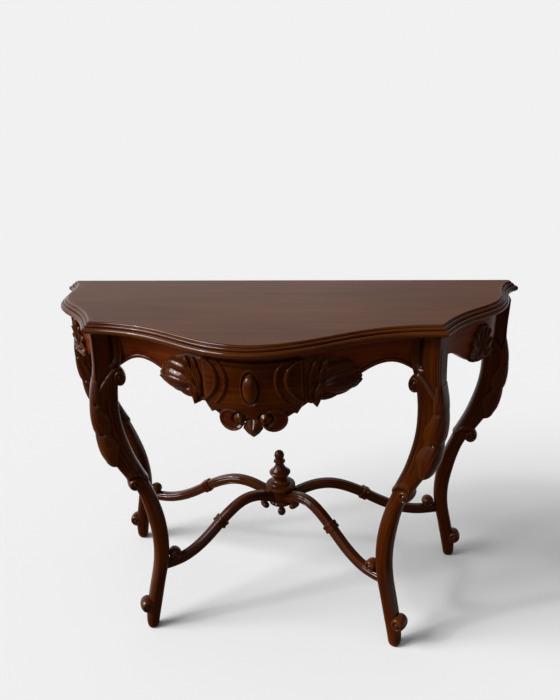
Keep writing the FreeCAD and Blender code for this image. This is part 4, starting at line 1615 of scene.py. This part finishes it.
@dataclass(frozen=True)
class Ridge:
    """A C-shaped ridge bowed to the middle: a half-round carried along its line, thinner at its ends.

    It has points on its line, half its width, its rise, and the height of its edges.
    """

    spine: Pairs
    half: float
    rise: float
    base: float

    def width(self, t: Array) -> Array:
        """Half the width along the line."""
        return self.half * (0.55 + 0.45 * np.sin(np.pi * np.clip(t, 0.02, 0.98)) ** 0.6)

    def height(self, t: Array, s: Array) -> Array:
        """A half-round across the line."""
        return self.base + self.rise * np.sqrt(np.maximum(1.0 - s**2, 0.02))

    def skin(self, face: Face) -> Skin:
        """The closed skin on a face."""
        return face.frond(self.spine, self.width, self.height, sink=-6.0)


@dataclass(frozen=True)
class Leaflet(Ridge):
    """A leaf: lens-shaped, lobed at the edge, crowned each side of a sunk midrib, veined, tip raised."""

    lobes: float = 2.0
    bite: float = 0.22
    least: float = 0.06
    tip_lift: float = 2.0
    vein_rise: float = 0.3
    midrib_depth: float = 1.5

    def width(self, t: Array) -> Array:
        """A lens that is widest near the root, bitten into lobes.

        Args:
            t: Share from root to tip.

        Returns:
            Half widths in millimetres.
        """
        lens = np.sin(np.pi * np.clip(t, 0.0, 1.0) ** 0.8) ** 0.75
        bitten = 1 - self.bite * abs(np.sin(np.pi * self.lobes * t)) ** 4
        return self.half * np.maximum(lens * bitten, self.least)

    def height(self, t: Array, s: Array) -> Array:
        """Crown, veins, midrib and the lift of the tip.

        Args:
            t: Share from root to tip.
            s: Place across, from -1 to 1.

        Returns:
            Heights in millimetres.
        """
        crown = self.rise * (1 - 0.7 * abs(s) ** 2.2) + self.tip_lift * ramp(t, 0.6, 1.0)
        vein = self.vein_rise * np.cos(2 * np.pi * (self.lobes * t - 0.6 * abs(s))) * ramp(abs(s), 0.1, 0.4)
        midrib = self.midrib_depth * hump(s, 0.0, 0.14)
        return self.base + (crown + vein - midrib) * ramp(t, -0.1, 0.15)

    def skin(self, face: Face) -> Skin:
        """The closed skin on a face."""
        return face.frond(self.spine, self.width, self.height, rows=56, columns=23)


@dataclass
class Carving:
    """The carved centre: shield, oval boss, ridges, flower sprays and hanging bud.

    Places are (length along the board's face, height) in millimetres, on the right-hand side. A round
    moulding, such as a rim, ring or groove, is its radius, half width and rise. The methods that give
    heights take lengths along the face, heights on it and shares of an outline, as a boss asks.
    """

    shield_top: float = 758.0
    shield_proud: float = 12.0
    shield_middle: Pair = (0.0, 690.0)
    shield_side: Pairs = (
        (99.0, 758.0), (99.0, 730.0), (99.0, 700.0), (99.0, 664.0), (94.0, 652.0), (87.0, 640.5),
        (75.0, 655.0), (68.0, 656.0),
    )
    shield_fork: Pairs = ((9.0, 640.0), (0.0, 641.0))
    head_half: float = 96.0
    dish_half: float = 60.0
    dish_depth: float = 2.0
    dish_start: Pair = (640.0, 680.0)
    dish_over: float = 1.5
    lobe: Triple = (43.0, 632.0, 26.0)
    lobe_turn: Pair = (42.0, -168.0)
    lobe_stop: Pair = (650.0, 662.0)
    lobe_rim: Triple = (22.5, 3.0, 2.2)
    eye_shift: Pair = (-17.0, 4.0)
    eye_fall: Pair = (5.0, 10.5)
    eye_rise: float = 3.0
    eye_groove: Triple = (13.5, 2.6, -3.4)
    oval_ring: Triple = (1.30, 0.09, 1.3)
    oval_groove: Triple = (1.10, 0.10, -2.0)
    cabochon: Dome = Dome((0.0, 704.0), 29.0, 14.0, 90.0, 11.0, 13.5, sink=-8.0)
    ridges: tuple[Ridge, ...] = (
        Ridge(((62, 757), (52, 744), (47, 726), (49, 704), (57, 684), (71, 667)), 3.6, 5.0, 10.6),
        Ridge(((86, 757), (73, 745), (66, 727), (67, 708), (76, 689), (95, 668)), 5.0, 8.0, 10.8),
    )
    bed: Pairs = (
        (0.0, 0.02), (0.30, 0.0), (0.62, 0.12), (0.90, 0.32), (1.0, 0.52), (0.90, 0.70), (0.62, 0.90),
        (0.30, 0.86), (0.14, 1.0), (0.0, 0.93), (0.0, 0.02),
    )
    bed_from: Pair = (101.0, 756.0)
    bed_size: Pair = (112.0, -102.0)
    bed_middle: Pair = (150.0, 706.0)
    bed_rise: float = 5.0
    bed_fall: float = 3.0
    leaves: tuple[Leaflet, ...] = (
        Leaflet(((122, 752), (119, 728), (114, 700), (108, 668)), 9.5, 6.0, 7.0),
        Leaflet(((140, 750), (138, 726), (132, 700), (124, 672)), 10.5, 7.5, 7.5),
        Leaflet(((132, 704), (129, 686), (125, 669), (120, 651)), 11.0, 7.5, 8.0),
        Leaflet(((178, 684), (191, 681), (203, 684), (212, 692)), 8.0, 6.0, 6.5),
    )
    petals: tuple[Dome, ...] = (
        Dome((145.0, 671.0), 24.0, 12.5, 4.0, 5.0, 9.0),
        Dome((172.0, 673.0), 22.0, 9.0, 12.0, 5.0, 8.0),
        Dome((163.0, 723.0), 32.0, 14.0, 8.0, 7.0, 12.0),
        Dome((184.0, 715.0), 24.0, 10.0, -14.0, 6.0, 10.0),
    )
    bud_at: Pair = (171.0, 694.0)
    bud_half: Pair = (37.0, 24.0)
    bud_tilt: float = 6.0
    bud_edge: float = 9.0
    bud_rise: float = 16.0
    fold_edge: Pair = (-0.04, 0.06)
    upper_fold: float = 1.4
    lower_fold: float = 1.2
    dimples: Pairs = ((0.55, 0.12), (0.62, -0.14), (0.44, -0.30))
    dimple_half: float = 0.09
    dimple_depth: float = 1.6
    knob: Dome = Dome((206.0, 698.0), 7.0, 7.0, 0.0, 7.0, 7.0, columns=40, rows=12)
    pendant_half: Pairs = ((0.0, 594.0), (12.0, 604.0), (20.0, 615.0), (17.0, 626.0), (10.0, 634.0))
    pendant_middle: Pair = (0.0, 615.0)
    pendant_edge: float = 4.0
    pendant_rise: float = 13.0
    pendant_side: float = 1.5
    pendant_cut: float = 1.4

    def __post_init__(self) -> None:
        """Take the front board's face."""
        self.face = FRONT.face()

    def shield_outline(self) -> Array:
        """The shield's edge: a straight head, sides, a notch each side, and two round lobes.

        Returns:
            Its closed outline.
        """
        x, z, r = self.lobe
        turn = np.linspace(*np.radians(self.lobe_turn), 50)
        lobe = np.stack([x + r * np.cos(turn), z + r * np.sin(turn)], 1)
        head = np.column_stack([np.linspace(0.0, self.head_half, 30), np.full(30, self.shield_top)])
        right = straight_run(np.vstack([head, self.shield_side, lobe, self.shield_fork]), 170)
        return np.vstack([right, right[-1:0:-1] * (-1, 1)])

    def shield_height(self, x: Array, z: Array, rho: Array) -> Array:
        """Sum of the dish, the ring and groove round the oval, the eyes and rims on the lobes, and the edge.

        Args:
            x: Lengths along the face.
            z: Heights on it.
            rho: Share of the outline.

        Returns:
            Distances out from the face.
        """
        oval_z, long, wide = self.cabochon.centre[1], self.cabochon.long, self.cabochon.wide
        lobe_x, lobe_z, _ = self.lobe
        eye_x, eye_z = lobe_x + self.eye_shift[0], lobe_z + self.eye_shift[1]
        from_oval = np.hypot(x / wide, (z - oval_z) / long)
        from_eye = np.hypot(abs(x) - eye_x, z - eye_z)
        from_lobe = np.hypot(abs(x) - lobe_x, z - lobe_z)
        ring, groove, socket, rim = (
            rise * hump(distance, radius, half)
            for distance, (radius, half, rise) in (
                (from_oval, self.oval_ring),
                (from_oval, self.oval_groove),
                (from_eye, self.eye_groove),
                (from_lobe, self.lobe_rim),
            )
        )
        dish = self.dish_depth * (abs(x) / self.dish_half) ** 2 * ramp(z, *self.dish_start)
        dish = np.minimum(self.shield_proud - self.dish_depth + dish, self.shield_proud + self.dish_over)
        eye = self.eye_rise * (1 - ramp(from_eye, *self.eye_fall))
        on_lobe = (eye + socket + rim) * (1 - ramp(z, *self.lobe_stop))
        return (dish + ring + groove + on_lobe) * (1 - 0.55 * ramp(rho, 0.975, 1.0))

    def shield(self) -> Skin:
        """The shield: dished between its ridges, sunk round the oval, with two round eyes on the lobes."""
        return self.face.boss(self.shield_outline(), self.shield_middle, self.shield_height, sink=0.5, rows=64)

    def bud_height(self, x: Array, z: Array, rho: Array) -> Array:
        """A dome; each petal stands a step above the next along a curved edge, and the tip is dimpled.

        Args:
            x: Lengths along the face.
            z: Heights on it.
            rho: Share of the outline.

        Returns:
            Distances out from the face.
        """
        (x_0, z_0), (long, wide) = self.bud_at, self.bud_half
        c, s = math.cos(math.radians(self.bud_tilt)), math.sin(math.radians(self.bud_tilt))
        a = ((x - x_0) * c + (z - z_0) * s) / long
        b = (-(x - x_0) * s + (z - z_0) * c) / wide
        egg = self.bud_edge + self.bud_rise * np.sqrt(np.maximum(1.02 - rho**2, 0))
        upper = self.upper_fold * ramp(b - 0.30 + 0.35 * (a + 0.2) ** 2, *self.fold_edge)
        lower = self.lower_fold * ramp(-b - 0.34 + 0.30 * (a - 0.1) ** 2, *self.fold_edge)
        dimple = sum(hump(np.hypot(a - p, b - q), 0.0, self.dimple_half) for p, q in self.dimples)
        return egg - (upper + lower) * (1 - ramp(rho, 0.85, 1.0)) - self.dimple_depth * dimple

    def bud(self) -> Skin:
        """The large bud: an egg with broad petals folded over each other."""
        outline = oval(self.bud_at, *self.bud_half, self.bud_tilt)
        return self.face.boss(outline, self.bud_at, self.bud_height, rows=48)

    def bed_height(self, x: Array, z: Array, rho: Array) -> Array:
        """Level ground that falls at its edge."""
        return self.bed_rise - self.bed_fall * ramp(rho, 0.85, 1.0)

    def spray(self) -> Skin:
        """The right-hand spray: a bed, upright and pointed leaves, smooth petals, and the bud over them.

        Returns:
            Its closed skins.
        """
        edge = straight_run(np.array(self.bed_from) + np.array(self.bed) * self.bed_size, 121)[:-1]
        ground = self.face.boss(edge, self.bed_middle, self.bed_height, rows=20)
        forms = [form.skin(self.face) for form in (*self.leaves, *self.petals)]
        return joined([ground, *forms, self.bud(), self.knob.skin(self.face)])

    def pendant_height(self, x: Array, z: Array, rho: Array) -> Array:
        """A cone with raised sides and a line cut down its middle."""
        cone = self.pendant_edge + self.pendant_rise * (1 - rho)
        return cone + self.pendant_side * abs(x) / 20 - self.pendant_cut * hump(x, 0, 2.0)

    def pendant(self) -> Skin:
        """The hanging bud: a pointed drop between the lobes, which falls evenly to its edge.

        Returns:
            The closed skin.
        """
        half = np.array(self.pendant_half)
        edge = straight_run(np.vstack([half, half[::-1] * (-1, 1)]), 73)[:-1]
        return self.face.boss(edge, self.pendant_middle, self.pendant_height, rows=20)

    def build(self, bench: Bench) -> None:
        """Make every carved piece.

        Args:
            bench: What makes the pieces.
        """
        bench.piece("carved_shield", self.shield(), CARVED, "shield")
        bench.piece("oval_boss", self.cabochon.skin(self.face), CARVED, "cabochon")
        bench.piece("hanging_bud", self.pendant(), CARVED, "pendant_bud")
        ridges, spray = joined([ridge.skin(self.face) for ridge in self.ridges]), self.spray()
        for side in Side:
            hand = side.value
            bench.piece(f"{hand}_ridges", ridges.on(side), CARVED, f"{hand}_c_scroll")
            bench.piece(f"{hand}_spray", spray.on(side), CARVED, f"{hand}_flower_spray")


@dataclass
class Studio:
    """Floor, light and camera. Angles are in degrees, and the camera's place is in metres."""

    focal: float = 33.17
    sensor: float = 36.0
    place: Triple = (0.250, -1.384, 1.203)
    yaw: float = 9.39
    pitch: float = 28.42
    roll: float = -2.43
    shift: Pair = (-0.0036, 0.142)
    pale: str = "#f1f1f1"
    floor_colour: str = "#f1f1f1"
    floor_bounce: str = "#808080"
    floor_reach: float = 30.0
    sky: str = "#aaaaaa"
    dim: str = "#505050"
    ceiling: str = "#505050"
    sky_from: Triple = (-0.75, -0.4, 0.5)
    sky_range: Pair = (-0.5, 0.8)
    ceiling_range: Pair = (0.5, 0.85)
    wall_range: Pair = (-0.1, 0.5)
    sun: float = 3.6
    sun_angle: float = 38.0
    spark: float = 0.5
    spark_angle: float = 4.5
    sun_from: Pair = (19.0, 33.0)

    def camera(self) -> None:
        """A level view turned by the yaw, tipped by the pitch, then rolled."""
        yaw, pitch, roll = (math.radians(v) for v in (self.yaw, self.pitch, self.roll))
        ahead = np.array([-math.sin(yaw), math.cos(yaw), 0.0])
        right = np.array([math.cos(yaw), math.sin(yaw), 0.0])
        look = ahead * math.cos(pitch) - UP * math.sin(pitch)
        up = ahead * math.sin(pitch) + UP * math.cos(pitch)
        side = right * math.cos(roll) + up * math.sin(roll)
        over = up * math.cos(roll) - right * math.sin(roll)
        data = bpy.data.cameras.new("camera")
        data.lens, data.sensor_width = self.focal, self.sensor
        data.shift_x, data.shift_y = self.shift
        made = add_object("camera", data)
        made.matrix_world = stand(side, over, -look, self.place)
        bpy.context.scene.camera = made

    @staticmethod
    def seen(tree: bpy.types.NodeTree) -> bpy.types.NodeSocket:
        """Tell what the eye sees, straight or by way of a gloss or glass, from what only lights.

        Args:
            tree: The node tree to add to.

        Returns:
            A socket that is 1 for what is seen and 0 for lighting.
        """
        ray = add_node(tree, "ShaderNodeLightPath").outputs
        share = ray["Is Camera Ray"]
        for kind in ("Is Glossy Ray", "Is Transmission Ray"):
            share = add_node(tree, "ShaderNodeMath", {0: share, 1: ray[kind]}, operation="MAXIMUM").outputs[0]
        return share

    def floor(self) -> None:
        """A wide level sheet of matt paper, even and pale; it throws back less light than it shows."""
        reach = self.floor_reach
        corners = [(-reach, -reach, 0), (reach, -reach, 0), (reach, reach, 0), (-reach, reach, 0)]
        mesh = bpy.data.meshes.new("floor")
        mesh.from_pydata(corners, [], [(0, 1, 2, 3)])
        paper = bpy.data.materials.new("matt_paper")
        tree = fresh_tree(paper)
        inputs = {"Factor": self.seen(tree), 6: linear(self.floor_bounce), 7: linear(self.floor_colour)}
        colour = add_node(tree, "ShaderNodeMix", inputs, data_type="RGBA").outputs[2]
        sheet = add_node(tree, "ShaderNodeBsdfDiffuse", {"Color": colour})
        add_node(tree, "ShaderNodeOutputMaterial", {"Surface": sheet.outputs["BSDF"]})
        mesh.materials.append(paper)
        made = add_object("floor", mesh)

    def lamps(self) -> None:
        """A broad sun from the upper left and front, and a small one with it that gives the edges a spark."""
        heading, height = (math.radians(v) for v in self.sun_from)
        level = np.array([-math.cos(heading), -math.sin(heading), 0.0])
        back = level * math.cos(height) + UP * math.sin(height)
        side = np.cross(UP, level)
        for name, energy, angle in (("key", self.sun, self.sun_angle), ("spark", self.spark, self.spark_angle)):
            data = bpy.data.lights.new(name, "SUN")
            data.energy, data.angle = energy, math.radians(angle)
            add_object(name, data).matrix_world = stand(side, np.cross(back, side), back)

    def surroundings(self) -> None:
        """A world that is pale all round to the eye.

        For light that falls on the table it is brighter on the left and front, where the lamps stand,
        than on the right. Gloss shows the pale walls, but a dim ceiling and a dim wall on the right.
        """
        world = bpy.data.worlds.new("studio")
        bpy.context.scene.world = world
        tree = fresh_tree(world)
        way = add_node(tree, "ShaderNodeTexCoord").outputs["Generated"]
        lit = add_node(tree, "ShaderNodeVectorMath", {0: way, 1: self.sky_from}, operation="DOT_PRODUCT")
        towards = add_node(tree, "ShaderNodeSeparateXYZ", {"Vector": way}).outputs
        shares = []
        for value, (low, high), fall in (
            (lit.outputs["Value"], self.sky_range, "SMOOTHSTEP"),
            (towards["Z"], self.ceiling_range, "LINEAR"),
            (towards["X"], self.wall_range, "LINEAR"),
        ):
            inputs = {"Value": value, "From Min": low, "From Max": high}
            made = add_node(tree, "ShaderNodeMapRange", inputs, interpolation_type=fall)
            shares.append(made.outputs["Result"])
        bright, above, right = shares
        unlit = add_node(tree, "ShaderNodeMath", {0: above, 1: right}, operation="MAXIMUM").outputs[0]
        glossy = add_node(tree, "ShaderNodeLightPath").outputs["Is Glossy Ray"]
        unlit = add_node(tree, "ShaderNodeMath", {0: unlit, 1: glossy}, operation="MULTIPLY").outputs[0]
        mixed = []
        for share, first, second in ((bright, self.dim, self.sky), (unlit, self.pale, self.ceiling)):
            inputs = {"Factor": share, 6: linear(first), 7: linear(second)}
            mixed.append(add_node(tree, "ShaderNodeMix", inputs, data_type="RGBA").outputs[2])
        inputs = {"Factor": self.seen(tree), 6: mixed[0], 7: mixed[1]}
        colour = add_node(tree, "ShaderNodeMix", inputs, data_type="RGBA").outputs[2]
        glow = add_node(tree, "ShaderNodeBackground", {"Color": colour, "Strength": 1.0})
        add_node(tree, "ShaderNodeOutputWorld", {"Surface": glow.outputs["Background"]})

    def build(self) -> None:
        """Set up the whole studio."""
        self.camera()
        self.floor()
        self.lamps()
        self.surroundings()
        bpy.context.scene.view_settings.view_transform = "Standard"


def dress_solids(bench: Bench) -> None:
    """Give the solids that stay in view, the back rail and the glue blocks, their plain sawn finish.

    Args:
        bench: What has the materials.
    """
    for name in ("back_rail", "glue_blocks"):
        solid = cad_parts[name]
        solid.data.materials.clear()
        solid.data.materials.append(bench.materials[PLAIN.name])
        log.info("%s: kept, %s", name, PLAIN.name)


def main() -> None:
    """Build the studio and every piece in order."""
    logging.basicConfig(level=logging.INFO, format="%(name)s: %(message)s")
    Studio().build()
    bench = Bench()
    for assembly in (Top(), FRONT, SideApron(), FRONT_LEG, BACK_LEG, Stretcher(), Carving()):
        assembly.build(bench)
    dress_solids(bench)


if __name__ == "__main__":
    main()
